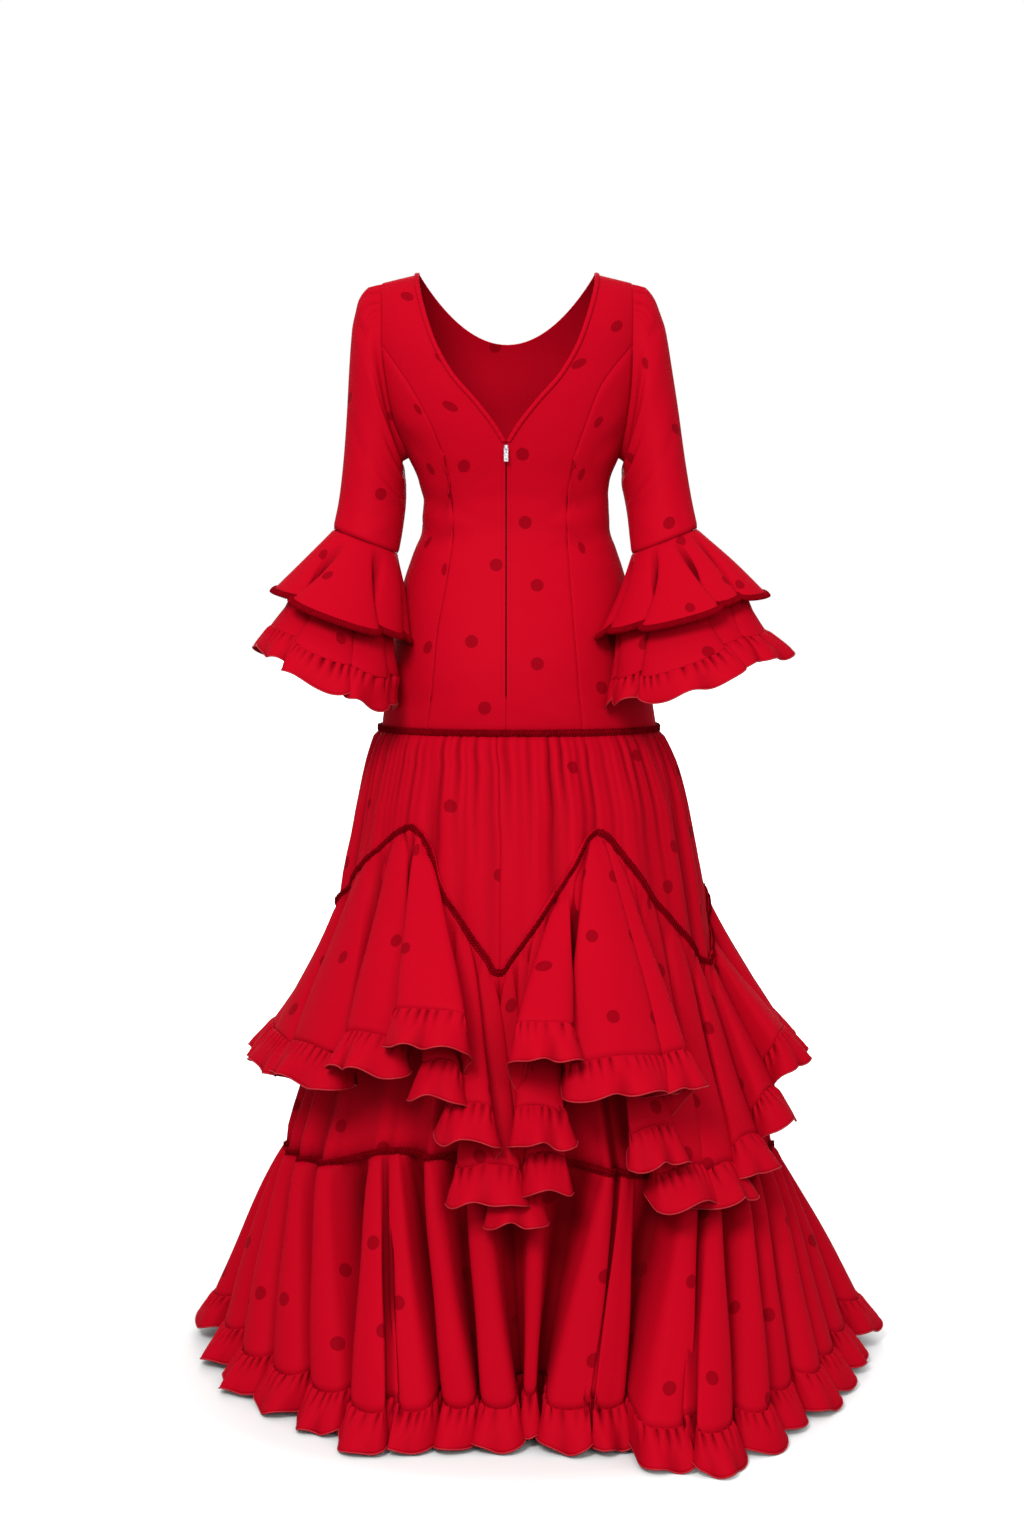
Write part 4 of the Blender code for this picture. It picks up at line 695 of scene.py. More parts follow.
def bodice_outward(degrees, z):
    """Outward direction of the bodice form, straight up along the shoulder seam."""
    point = bodice_point(degrees, z)
    across = bodice_point(degrees + 0.2, z) - bodice_point(degrees - 0.2, z)
    down = bodice_point(degrees, z - 0.0005) - point
    out = direction(np.cross(across, down))
    seam = (z > shoulder_height(point[..., 0]) - 1e-5)[..., None]
    return np.where(seam, np.array([0.0, 0.0, 1.0]), out)


def bodice_angle(x, z, front=False):
    """Angle on the bodice at which the form has a given x."""
    centre_x, half_width, _, _, power = np.moveaxis(BODY_TABLE(z), -1, 0)
    reach = np.clip((x - centre_x) / half_width, -1.0, 1.0)
    degrees = np.degrees(np.arcsin(signed_power(reach, power / 2)))
    return 180.0 - degrees if front else degrees


def armhole_x(z, side):
    """Distance of the armhole from the middle, square on."""
    part = np.clip((z - PRINCESS_TOP_Z) / (-SHOULDER_DROP - PRINCESS_TOP_Z), 0.0, 1.0)
    return side * lerp(ARMHOLE_BASE_X, SHOULDER_TIP_X, part)


def princess_x(z, side):
    """Where the princess seam of a side lies, square on, and the armhole above it."""
    seams = SEAM_TABLE(z)
    below = seams[..., 0] if side > 0 else seams[..., 1]
    return np.where(z > PRINCESS_TOP_Z - 1e-6, armhole_x(z, side), below)


def zip_edge(z):
    """Distance of a back panel's edge from the centre back."""
    return np.where(z > ZIP_BOTTOM_Z, ZIP_SLIT / 2, SEAM_GAP / 2)


def bodice_rows():
    """Levels of a panel from its shoulder down: level of each row and its climb up the armhole."""
    low = np.linspace(HIP_SEAM_Z, PRINCESS_TOP_Z, BODICE_ROWS)
    climb = np.sin(np.linspace(0, math.pi / 2, SHOULDER_ROWS + 1)[1:])
    z = np.concatenate([low, lerp(PRINCESS_TOP_Z, -SHOULDER_DROP, climb)])
    return z[::-1, None], np.concatenate([np.zeros(BODICE_ROWS), climb])[::-1, None]


def back_places(side, across):
    """Angles and levels of a back panel from the slit and neck edge out to the princess seam."""
    z, climb = bodice_rows()
    inner_z = np.where(climb > 0, lerp(PRINCESS_TOP_Z, 0.0, climb), z)
    neck = np.where(inner_z > V_POINT_Z, NECK_TABLE.one(inner_z), 0.0)
    centre = CENTRE_BACK_X * np.minimum(1.0, inner_z / V_POINT_Z)
    inner = centre + side * np.maximum(neck, zip_edge(inner_z))
    x = lerp(inner, princess_x(z, side), across[None, :])
    level = np.where(climb > 0, lerp(PRINCESS_TOP_Z, shoulder_height(x), climb), z)
    return bodice_angle(x, level), level


def front_top(x):
    """Top edge of the front: shoulder seam outside the neck, scoop inside it."""
    part = np.minimum(1.0, np.abs(x) / NECK_HALF_WIDTH)
    return np.where(part < NECK_END_SHARE, -FRONT_NECK_DEPTH * (1.0 - part * part), shoulder_height(x))


def front_places(across):
    """Angles and levels of the front panel, left to right, under its scooped neck."""
    z, climb = bodice_rows()
    spread = 1.0 - 2.0 * across[None, :]
    steps = np.linspace(0.0, 1.0, len(FRONT_NECK_SHARES) + 1)
    strap = np.append(np.array(FRONT_NECK_SHARES) * NECK_HALF_WIDTH / SHOULDER_TIP_X, 1.0)
    share = lerp(np.abs(spread), np.interp(np.abs(spread), steps, strap), climb)
    x = np.where(spread >= 0, princess_x(z, 1), princess_x(z, -1)) * share
    level = np.where(climb > 0, lerp(PRINCESS_TOP_Z, front_top(x), climb), z)
    return bodice_angle(x, level, front=True), level


def side_places(side, front, across):
    """Angles and levels of a side panel from the princess seam to the side seam."""
    seam_z = np.linspace(PRINCESS_TOP_Z, HIP_SEAM_Z, BODICE_ROWS)[:, None]
    share = (seam_z - HIP_SEAM_Z) / (PRINCESS_TOP_Z - HIP_SEAM_Z)
    start = bodice_angle(princess_x(seam_z, side), seam_z)
    turn = np.arccos(1.0 - across[None, :])
    level = seam_z + share * np.sin(turn) * (ARMPIT_Z - PRINCESS_TOP_Z)
    degrees = lerp(start, 90.0 * side, across[None, :])
    return (180.0 * side - degrees if front else degrees), level


# Skirt form


def seam_level(seam, table, degrees):
    """Level of a seam at an angle round the skirt, however many turns that makes."""
    start = seam[0].degrees
    return table.one((np.asarray(degrees) - start) % 360.0 + start)


def lower_z(degrees):
    """Level of the bottom flounce's seam."""
    return seam_level(LOWER_SEAM, LOWER_TABLE, degrees)


def zigzag_z(degrees):
    """Level of the middle flounce's seam."""
    return seam_level(ZIGZAG, ZIGZAG_TABLE, degrees)


def waver(at, waves):
    """Sum of uneven waves, each with its rate, share and shift."""
    return sum(wave.share * np.sin(wave.rate * at + wave.shift) for wave in waves)


def bump_between(part):
    """A wave that is 0 at whole numbers and 1 halfway between them."""
    return 0.5 - 0.5 * np.cos(2 * math.pi * part)


def fold_place(degrees):
    """Place in lobes of the bottom flounce that hangs from an angle on its seam."""
    places = np.linspace(-BOTTOM.count, 2 * BOTTOM.count, FOLD_SAMPLES)
    return np.interp(degrees, BOTTOM.seam_angle(places), places)


def skirt_lift(degrees, z):
    """How far the gathers under the hip seam and the folds lower down lift the skirt."""
    turn = np.radians(degrees)
    share = (HIP_SEAM_Z - z) / (HIP_SEAM_Z - lower_z(degrees))
    uneven = waver(turn, UNEVEN_SIZE)
    tight, loose, deep = np.moveaxis(GATHER_TABLE(share * (1.0 + UNEVEN_REACH * uneven)), -1, 0)
    bend = waver(turn, UNEVEN)
    gathers = np.abs(np.sin(turn * GATHERS_ROUND / 2 + GATHER_BEND * bend))
    gathers = gathers + FINE_HEIGHT * np.abs(np.sin(turn * FINE_ROUND / 2 + FINE_BEND * bend))
    gathers = TIGHT_HEIGHT * tight * (1.0 + UNEVEN_HEIGHT * uneven) * gathers
    loose = loose * (0.5 + 0.5 * waver(turn, LONG_GATHERS))
    return gathers + loose + deep * bump_between(fold_place(degrees))


def skirt_point(degrees, z, outward=0.0):
    """Point of the under-skirt with its gathers and folds."""
    degrees, z = np.broadcast_arrays(np.asarray(degrees, float), np.asarray(z, float))
    out = (skirt_lift(degrees, z) + outward)[..., None]
    return section_point(SKIRT_TABLE, degrees, z) + radial(degrees) * out


def closed_curve(points, place, carry=0.0):
    """Smooth closed curve through points, read at places counted in points; carry is added each turn."""
    index = np.floor(place).astype(int)
    part = (place - index)[..., None]
    count = len(points)
    marks = [index + step for step in (-1, 0, 1, 2)]
    reached = [points[mark % count] + carry * (mark // count)[..., None] for mark in marks]
    before, start, end, after = reached
    bend = 2 * before - 5 * start + 4 * end - after
    twist = 3 * (start - end) + after - before
    return 0.5 * (2 * start + (end - before) * part + bend * part**2 + twist * part**3)


class Flounce:
    """A ring of lobes hung from a seam, each pleated in behind its neighbours, with a ruffled edge."""

    def __init__(self, label, lobes, gores, centre_x, drop, puff, held_by):
        self.label, self.gores, self.puff, self.held_by = label, gores, puff, held_by
        self.count = len(lobes)
        seam, crest, half, reach, pleat, level = np.array([tuple(lobe) for lobe in lobes]).T
        self.centre_x = centre_x
        turned = np.array([0.0] * (self.count - 1) + [360.0])
        after = np.roll(crest - half, -1) + turned
        pleat_deg = (crest + half + after) / 2
        pleat_level = (level + np.roll(level, -1)) / 2 - drop
        tip_level = level - TIP_DROP_SHARE * drop
        last_pleat = np.roll(pleat, 1)
        width = np.where(after > crest + half - 1.0, PLEAT_HALF_DEG, -PLEAT_HALF_DEG)
        marks = [
            self.at(np.roll(pleat_deg + width, 1), last_pleat, np.roll(pleat_level, 1)),
            self.at(crest - half, lerp(last_pleat, reach, TIP_SHARE), tip_level),
            self.at(crest, reach, level),
            self.at(crest + half, lerp(pleat, reach, TIP_SHARE), tip_level),
            self.at(pleat_deg - width, pleat, pleat_level),
        ]
        self.marks = np.stack(marks, 1).reshape(-1, 3)
        spread = GATHERED_SHARE * (np.roll(seam, -1) + turned - np.roll(seam, 1) + np.roll(turned, 1)) / 2
        places = np.arange(self.count)[:, None] + np.array([0.25, 0.5, 0.75])
        hung = seam[:, None] + spread[:, None] * np.array([-0.5, 0.0, 0.5])
        self.seam_places = np.concatenate([(places + self.count * turn).ravel() for turn in (-1, 0, 1)])
        self.seam_degrees = np.concatenate([(hung + 360.0 * turn).ravel() for turn in (-1, 0, 1)])

    def seam_angle(self, place):
        """Angle on the seam from which a place in lobes hangs."""
        return np.interp(place, self.seam_places, self.seam_degrees)

    def at(self, degrees, reach, z):
        """Points of the hem, reaching out from the middle of the flounce."""
        point = radial(degrees) * reach[..., None]
        point[..., 0] += self.centre_x
        point[..., 2] = z
        return point

    def edges(self, place):
        """Lower edge and hem of the flounce, the ruffle lying between them, and share of the crest."""
        hem = closed_curve(self.marks, place * MARKS_PER_LOBE - 0.5)
        wave = bump_between(place)
        inward = -hem + np.array([self.centre_x, 0.0, 0.0])
        inward[:, 2] = 0.0
        flare = RUFFLE_FLARE * lerp(RUFFLE_VALLEY_SHARE, 1.0, wave)
        edge = hem + direction(inward) * flare[:, None] + np.array([0.0, 0.0, RUFFLE_DROP])
        return edge, hem, wave

    def course(self, place):
        """The lower edge with its folds smoothed away."""
        steps = np.linspace(-COURSE_REACH, COURSE_REACH, COURSE_STEPS)
        return np.mean([self.edges(place + step)[0] for step in steps], axis=0)


MIDDLE = Flounce(
    "middle", MIDDLE_LOBES, MIDDLE_GORES, MIDDLE_CENTRE_X, drop=0.020, puff=1.0, held_by="zigzag_braid_gimp"
)
BOTTOM = Flounce(
    "bottom", BOTTOM_LOBES, BOTTOM_GORES, BOTTOM_CENTRE_X, drop=-0.014, puff=0.7, held_by="lower_braid_gimp"
)
GATHER_TABLE = Table(GATHER_ROWS)


def fall(start, end, middle, part):
    """Points on the way down a flounce, from the seam by way of its smoothed course to its lower edge."""
    part = np.asarray(part)[:, None, None]
    grid = lerp(start[None], middle[None], part**FALL_POWER) + (end - middle)[None] * part**FOLD_POWER
    grid[..., 2] = lerp(start[None, :, 2], end[None, :, 2], part[..., 0])
    return grid


# Arms


def ring_table(rings):
    """Rings of an arm, read at places counted in rings."""
    return Table([(index, *ring) for index, ring in enumerate(rings)])


def arm_point(table, place, side, turn, grow=0.0):
    """Point of a ring round the arm: turn 0 outermost, 0.25 towards the back, 0.5 innermost."""
    outer_x, outer_z, inner_x, inner_z, centre_y, half_depth = np.moveaxis(table(place), -1, 0)
    half_x, half_z = (outer_x - inner_x) / 2, (outer_z - inner_z) / 2
    half = np.hypot(half_x, half_z)
    angle = 2 * math.pi * turn
    across = (1.0 + grow / half) * np.cos(angle)
    x = side * ((outer_x + inner_x) / 2 + half_x * across)
    y = centre_y + (half_depth + grow) * np.sin(angle)
    z = (outer_z + inner_z) / 2 + half_z * across
    return np.stack(np.broadcast_arrays(x, y, z), -1)


def armhole_loop(side, turn):
    """Points of the armhole from the shoulder tip down the back to the armpit and up the front."""
    front = turn > 0.5
    step = 4.0 * ARMHOLE_HIGH_STEPS * np.where(front, 1.0 - turn, turn)
    climb = np.interp(step, range(len(ARMHOLE_CLIMBS)), ARMHOLE_CLIMBS)
    z = lerp(PRINCESS_TOP_Z, -SHOULDER_DROP, climb)
    x = armhole_x(z, side)
    high_level = lerp(PRINCESS_TOP_Z, shoulder_height(x), climb)
    high = bodice_angle(x, high_level)
    low_step = np.clip(step - ARMHOLE_HIGH_STEPS, 0.0, ARMHOLE_HIGH_STEPS)
    angle = np.radians(90.0 * low_step / ARMHOLE_HIGH_STEPS)
    low_level = PRINCESS_TOP_Z + np.sin(angle) * (ARMPIT_Z - PRINCESS_TOP_Z)
    seam_top = np.array(PRINCESS_TOP_Z)
    low = lerp(bodice_angle(princess_x(seam_top, side), seam_top), 90.0 * side, 1.0 - np.cos(angle))
    degrees = np.where(step < ARMHOLE_HIGH_STEPS, high, low)
    level = np.where(step < ARMHOLE_HIGH_STEPS, high_level, low_level)
    degrees = np.where(front, 180.0 * side - degrees, degrees)
    return bodice_point(degrees, level)


# Grids of points: rows run down, columns by growing angle, so outward is across by down


def grid_outward(grid, closed=False):
    """Outward directions of a grid, which wraps round where it is closed."""
    if closed:
        across = np.roll(grid, -1, 1) - np.roll(grid, 1, 1)
    else:
        across = np.gradient(grid, axis=1)
    return direction(np.cross(across, np.gradient(grid, axis=0)))


def along(grid, axis):
    """Distance travelled along a grid's rows or columns, starting at 0."""
    steps = np.linalg.norm(np.diff(grid, axis=axis), axis=-1)
    start = np.zeros_like(np.take(steps, [0], axis))
    return np.concatenate([start, np.cumsum(steps, axis=axis)], axis)


def fine_edges(count):
    """Shares from 0 to 1 that crowd close to both edges, where a seam turns the cloth in."""
    inner = np.linspace(0.0, 1.0, count)
    step = inner[1]
    extra = np.array([0.10, 0.28, 0.58]) * step
    return np.sort(np.concatenate([inner, extra, 1.0 - extra]))


def turn_in(grid, sides, depth, closed=False):
    """Sink the named edges of a panel, left, right, top or bottom, into their seams."""
    out = grid_outward(grid, closed)
    across, down = along(grid, 1), along(grid, 0)
    near = {"l": across, "r": across[:, -1:] - across, "t": down, "b": down[-1:] - down}
    sink = sum((np.exp(-((near[side] / SEAM_ROLL) ** 2)) for side in sides), np.zeros(grid.shape[:2]))
    return grid - out * (np.minimum(sink, 1.0) * depth)[..., None]


def crease_depth(u, v, creases):
    """Height that listed troughs and ridges give at points of a flat pattern."""
    height = np.zeros(np.broadcast(u, v).shape)
    for crease in creases:
        run_u, run_v = crease.to_u - crease.from_u, crease.to_v - crease.from_v
        square = run_u * run_u + run_v * run_v
        part = np.clip(((u - crease.from_u) * run_u + (v - crease.from_v) * run_v) / square, 0.0, 1.0)
        bow = crease.bow * np.sin(math.pi * part)
        off_u = u - crease.from_u - run_u * part - bow * run_v
        off_v = v - crease.from_v - run_v * part + bow * run_u
        taper = np.sin(math.pi * np.clip(CREASE_START + CREASE_RUN * part, 0.0, 1.0)) ** CREASE_POWER
        height += crease.depth * taper * np.exp(-(off_u**2 + off_v**2) / crease.width**2)
    return height


def flat_cut(grid, closed=False, strip=False, straight=0.5):
    """Where each point lay on the flat cloth: a panel or strip, or a sector where the hem is longer.

    straight is the share across the panel of the line that lies along the grain.
    """
    if closed:
        grid = np.concatenate([grid, grid[:, :1]], 1)
    across, down = along(grid, 1), along(grid, 0)
    top, hem, length = across[0, -1], across[-1, -1], down[-1].mean()
    if hem > FLARED_RATIO * top and not strip:
        radius = length * top / (hem - top)
        angle = np.broadcast_to((across[-1] / hem - 0.5) * top / radius, down.shape)
        return (radius + down)[..., None] * np.stack([np.sin(angle), np.cos(angle)], -1)
    return np.stack([across - across[:, -1:] * straight, down[-1:] - down], -1)


def cut_size(cut, grid, closed=False):
    """Width and length of the rectangle that the flat cloth is cut from, and the cloth's area."""
    width, length = np.ptp(cut.reshape(-1, 2), axis=0)
    if closed:
        grid = np.concatenate([grid, grid[:, :1]], 1)
    crossed = np.cross(grid[1:, 1:] - grid[:-1, :-1], grid[1:, :-1] - grid[:-1, 1:])
    area = np.linalg.norm(crossed, axis=-1).sum() / 2
    return float(width), float(length), float(min(area, width * length))


def fold_depths(grid, closed=False):
    """How deep the points of a cloth lie between its folds, from 0 on a crest to 1 in a valley, as the mask
    of the shade painted into the valleys.
    """
    out = grid_outward(grid, closed)
    columns = grid.shape[1]
    deepest = np.zeros(grid.shape[:2])
    for reach in FOLD_REACHES:
        near = np.arange(columns)[:, None] + np.arange(-reach, reach + 1)
        near = near % columns if closed else np.clip(near, 0, columns - 1)
        sunk = ((grid[:, near].mean(axis=2) - grid) * out).sum(axis=-1)
        span = np.linalg.norm(grid[:, near[:, -1]] - grid[:, near[:, 0]], axis=-1)
        deepest = np.maximum(deepest, sunk / np.maximum(span, FOLD_LEAST_SPAN))
    return np.clip(deepest * FOLD_CONTRAST, 0.0, 1.0)


def new_piece(name, points, faces, finish):
    """A smooth mesh piece of a named finish."""
    mesh = bpy.data.meshes.new(name)
    mesh.from_pydata(points.reshape(-1, 3).tolist(), [], faces)
    mesh.materials.append(finish_of(finish))
    mesh.shade_smooth()
    piece = bpy.data.objects.new(name, mesh)
    bpy.context.scene.collection.objects.link(piece)
    return piece


def pick(piece):
    """Make a piece the only one selected, and the active one."""
    bpy.ops.object.select_all(action="DESELECT")
    piece.select_set(True)
    bpy.context.view_layer.objects.active = piece


def face_outwards(piece):
    """Turn the faces of a closed piece outwards."""
    pick(piece)
    bpy.ops.object.mode_set(mode="EDIT")
    bpy.ops.mesh.select_all(action="SELECT")
    bpy.ops.mesh.normals_make_consistent(inside=False)
    bpy.ops.object.mode_set(mode="OBJECT")
    return piece


def fasten(piece, node=None):
    """Carry a piece on the dress and put it in place of its solid."""
    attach(piece, BODY)
    if node:
        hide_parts(node)


def grid_faces(rows, columns, wraps_down=False, wraps_across=False):
    """Row and column of each square of a grid and the four corners of its face."""
    down, across = rows - 1 + wraps_down, columns - 1 + wraps_across
    row, column = np.meshgrid(np.arange(down), np.arange(across), indexing="ij")
    below, beside = (row + 1) % rows, (column + 1) % columns
    marks = ((row, column), (row, beside), (below, beside), (below, column))
    corners = np.stack([mark_row * columns + mark_column for mark_row, mark_column in marks], -1)
    return row, column, corners.reshape(-1, 4).tolist()


def lay_cloth(name, grid, cut, finish, closed, shift):
    """A thin shell through a grid of points, with its flat cut as the map of its pattern."""
    row, column, faces = grid_faces(*grid.shape[:2], wraps_across=closed)
    piece = new_piece(name, grid, faces, finish)
    layer = piece.data.uv_layers.new(name="cut")
    marks = [cut[row, column], cut[row, column + 1], cut[row + 1, column + 1], cut[row + 1, column]]
    layer.data.foreach_set("uv", (np.stack(marks, -2).reshape(-1, 2) + shift).ravel())
    # Fold depth of each point, the mask by which the crepe paints shade into the valleys of its folds
    depth = piece.data.attributes.new("depth", "FLOAT", "POINT")
    depth.data.foreach_set("value", fold_depths(grid, closed).ravel())
    thick = piece.modifiers.new("thickness", "SOLIDIFY")
    thick.thickness = bpy.context.scene.dress_cloth.thickness
    thick.offset = -1.0
    pick(piece)
    bpy.ops.object.modifier_apply(modifier=thick.name)
    return piece


def sew(node, grid, shift=0.0, straight=None, closed=False, ruffle=False):
    """Cut a piece flat and lay it in place of its solid; a ruffle gets its rolled hem.

    straight is the share across a straight strip of the line that lies along the grain.
    """
    cut = flat_cut(grid, closed, ruffle or straight is not None, 0.5 if straight is None else straight)
    finish = "plain_crepe" if ruffle else "dotted_crepe"
    piece = lay_cloth(node + "_cloth", grid, cut, finish, closed, shift)
    hems = [rolled_hem(node + "_edge", grid[-1], closed)] if ruffle else []
    fasten(piece, node)
    width, length, area = cut_size(cut, grid, closed)
    return piece


def dot_shift(kind, number=0):
    """Where the dots start on the flat cloth of a piece of a kind."""
    return DOT_SHIFTS[kind].start + DOT_SHIFTS[kind].step * number


def sweep(name, path, sides, ups, profile, finish, closed=False):
    """A solid strip that carries a profile of (across, up) points along a path."""
    profile = np.array(profile)
    points = path[:, None] + sides[:, None] * profile[None, :, :1] + ups[:, None] * profile[None, :, 1:]
    count, size = points.shape[:2]
    faces = grid_faces(count, size, wraps_down=closed, wraps_across=True)[2]
    if not closed:
        faces.append(list(range(size))[::-1])
        faces.append([(count - 1) * size + corner for corner in range(size)])
    return face_outwards(new_piece(name, points, faces, finish))


def rolled_hem(name, line, closed):
    """A fine rolled edge along a hem."""
    radius = bpy.context.scene.dress_ruffle.edge_radius
    tangent = direction(np.gradient(line, axis=0))
    side = direction(np.cross(tangent, np.array([0.0, 0.0, 1.0])))
    up = np.cross(side, tangent)
    turns = np.linspace(0.0, 2 * math.pi, 6, endpoint=False)
    profile = np.stack([np.cos(turns), np.sin(turns)], -1) * radius
    piece = sweep(name, line, side, up, profile, "rolled_edge_thread", closed)
    fasten(piece)
    return piece


# Materials


class Socket:
    """A node's output, with arithmetic that adds the Math nodes for it."""

    def __init__(self, shader, output):
        self.shader, self.output = shader, output

    def maths(self, operation, *values, clamp=False):
        settings = {"operation": operation, "use_clamp": clamp}
        return self.shader.node("ShaderNodeMath", settings, dict(enumerate(values)))

    def __add__(self, other):
        return self.maths("ADD", self, other)

    def __sub__(self, other):
        return self.maths("SUBTRACT", self, other)

    def __rsub__(self, other):
        return self.maths("SUBTRACT", other, self)

    def __mul__(self, other):
        return self.maths("MULTIPLY", self, other)

    def __truediv__(self, other):
        return self.maths("DIVIDE", self, other)

    __radd__ = __add__
    __rmul__ = __mul__

    def clamped(self):
        return self.maths("ADD", self, 0.0, clamp=True)


class Finish:
    """A material under construction round its Principled shader."""

    def __init__(self, name):
        self.material = bpy.data.materials.new(name)
        self.material.use_nodes = True
        self.nodes = self.material.node_tree.nodes
        self.links = self.material.node_tree.links
        self.shader = self.nodes["Principled BSDF"]

    def node(self, kind, settings, inputs, output=0):
        """Add a node, set it up, then fill its sockets with values or links."""
        made = self.nodes.new(kind)
        for name, value in settings.items():
            setattr(made, name, value)
        for name, value in inputs.items():
            self.feed(made.inputs[name], value)
        return Socket(self, made.outputs[output])

    def feed(self, socket, value):
        if isinstance(value, Socket):
            self.links.new(value.output, socket)
        else:
            socket.default_value = value

    def mix(self, share, start, end):
        """A colour between two others."""
        start, end = [value if isinstance(value, Socket) else tuple(value) for value in (start, end)]
        inputs = {0: share, 6: start, 7: end}
        return self.node("ShaderNodeMix", {"data_type": "RGBA"}, inputs, output=2)

    def attribute(self, name):
        return self.node("ShaderNodeAttribute", {"attribute_name": name}, {}, output="Fac")

    def object_place(self):
        return self.node("ShaderNodeTexCoord", {}, {}, output="Object")

    def cut_place(self):
        return self.node("ShaderNodeUVMap", {"uv_map": "cut"}, {})

    def noise(self, place, scale, detail=2.0, roughness=0.5):
        inputs = {"Vector": place, "Scale": scale, "Detail": detail, "Roughness": roughness}
        return self.node("ShaderNodeTexNoise", {}, inputs)

    def bump(self, height, distance, strength):
        inputs = {"Height": height, "Distance": distance, "Strength": strength}
        return self.node("ShaderNodeBump", {}, inputs)

    def paint(self, **inputs):
        """Feed the shader's inputs, named with _ for a space, and hand over the material."""
        for name, value in inputs.items():
            self.feed(self.shader.inputs[name.replace("_", " ")], value)
        return self.material


def crepe(name):
    """Red crepe with a fine crinkled grain, darker dots where the cloth is printed, and shade painted deep
    in the valleys of its folds.
    """
    settings = bpy.context.scene.dress_cloth
    made = Finish(name)
    place = made.object_place()
    patch = made.noise(place, PATCH_SCALE, detail=3.0)
    colour = made.mix(patch, settings.shade, settings.red)
    if name == "dotted_crepe":
        scale = 1.0 / settings.dot_spacing
        inputs = {"Vector": made.cut_place(), "Scale": scale, "Randomness": DOT_SCATTER}
        cells = made.node("ShaderNodeTexVoronoi", {"voronoi_dimensions": "2D", "feature": "F1"}, inputs)
        radius = settings.dot_width / 2 / settings.dot_spacing
        dot = ((radius - cells) * DOT_SHARPNESS + 0.5).clamped()
        colour = made.mix(dot * settings.dot_strength, colour, settings.dot_colour)
    # Painted shade: the colour turns towards a dark red deep in the valleys between folds, where the light
    # falls off
    colour = made.mix(made.attribute("depth") * settings.painted_shade_strength, colour, settings.painted_valley_shade)
    grain = made.noise(place, GRAIN_SCALE, roughness=0.65)
    slub = made.noise(place, SLUB_SCALE)
    return made.paint(
        Base_Color=colour,
        Roughness=patch * PATCH_ROUGHNESS + settings.roughness,
        Normal=made.bump(grain * GRAIN_HEIGHT + slub * SLUB_HEIGHT, CREPE_RELIEF, CREPE_STRENGTH),
        Specular_IOR_Level=0.3,
        IOR=1.06,
        Sheen_Weight=settings.sheen,
        Sheen_Roughness=0.5,
        Sheen_Tint=SHEEN_TINT,
    )


def grained(name, grain, shade, colour, **inputs):
    """A plain material whose fine grain gives it relief, uneven roughness and, as a rule, its tone."""
    made = Finish(name)
    place = made.object_place()
    texture = made.noise(place, grain.scale, grain.detail, grain.breakup)
    tone = made.noise(place, grain.tone_scale) if grain.tone_scale else texture
    return made.paint(
        Base_Color=made.mix(tone, shade, colour),
        Roughness=texture * grain.rough_spread + grain.rough,
        Normal=made.bump(texture, grain.relief, grain.strength),
        **inputs,
    )


def rolled_edge(name):
    """Overlocked edge in a lighter thread, ribbed along its length."""
    settings = bpy.context.scene.dress_ruffle
    return grained(name, THREAD_GRAIN, settings.edge_shade, settings.edge_colour, Specular_IOR_Level=0.2)


def gimp(name):
    """Dark red looped gimp braid with a faint thread twist."""
    settings = bpy.context.scene.dress_braid
    return grained(name, GIMP_GRAIN, settings.shade, settings.colour, Specular_IOR_Level=0.1, IOR=1.06)


def zip_cloth(name):
    """Woven zip tape, darker than the dress."""
    settings = bpy.context.scene.dress_zip
    return grained(name, TAPE_GRAIN, settings.tape_shade, settings.tape, Specular_IOR_Level=0.1)


def zip_metal(name):
    """Polished zip metal with fine wear."""
    settings = bpy.context.scene.dress_zip
    return grained(name, METAL_GRAIN, settings.metal_shade, settings.metal, Metallic=1.0)


MAKERS = {
    "dotted_crepe": crepe,
    "plain_crepe": crepe,
    "rolled_edge_thread": rolled_edge,
    "looped_gimp": gimp,
    "zip_tape_weave": zip_cloth,
    "zip_nickel": zip_metal,
}


def finish_of(kind):
    """The material of a kind, made the first time that it is asked for."""
    return bpy.data.materials.get(kind) or MAKERS[kind](kind)


# Sizes and colours that a user would change


def length_setting(label, about, default, least):
    return bpy.props.FloatProperty(
        name=label, description=about, default=default, min=least, unit="LENGTH", precision=4
    )


def share_setting(label, about, default):
    return bpy.props.FloatProperty(
        name=label, description=about, default=default, min=0.0, max=1.0, subtype="FACTOR"
    )


def power_setting(label, about, default, unit="NONE"):
    return bpy.props.FloatProperty(name=label, description=about, default=default, min=0.0, unit=unit)


def colour_setting(label, about, red, green, blue):
    return bpy.props.FloatVectorProperty(
        name=label, description=about, default=(red, green, blue, 1.0), size=4, subtype="COLOR"
    )


class DressCloth(bpy.types.PropertyGroup):
    thickness: length_setting("Cloth", "Thickness of the cloth", 0.0008, 0.0003)
    dot_width: length_setting("Dot width", "Width of a printed dot", 0.0175, 0.001)
    dot_spacing: length_setting("Dot spacing", "Usual distance between dots", 0.104, 0.01)
    dot_strength: share_setting("Dot strength", "How far a dot shows against the cloth", 0.85)
    roughness: share_setting("Roughness", "Roughness of the cloth", 0.50)
    sheen: share_setting("Sheen", "Soft light that the nap gives back", 0.06)
    red: colour_setting("Red", "Colour of the cloth", 0.360, 0.0013, 0.0090)
    shade: colour_setting("Shade", "Darker patches of the cloth", 0.325, 0.0011, 0.0080)
    dot_colour: colour_setting("Dots", "Colour of the printed dots", 0.180, 0.0004, 0.004)
    # Painted shade: a dark red that the cloth's colour turns towards deep in the valleys of its folds, and
    # how far it turns
    painted_valley_shade: colour_setting("Valleys", "Colour deep between the folds", 0.075, 0.0003, 0.0015)
    painted_shade_strength: share_setting("Valley strength", "How far the valleys of the folds darken", 0.85)


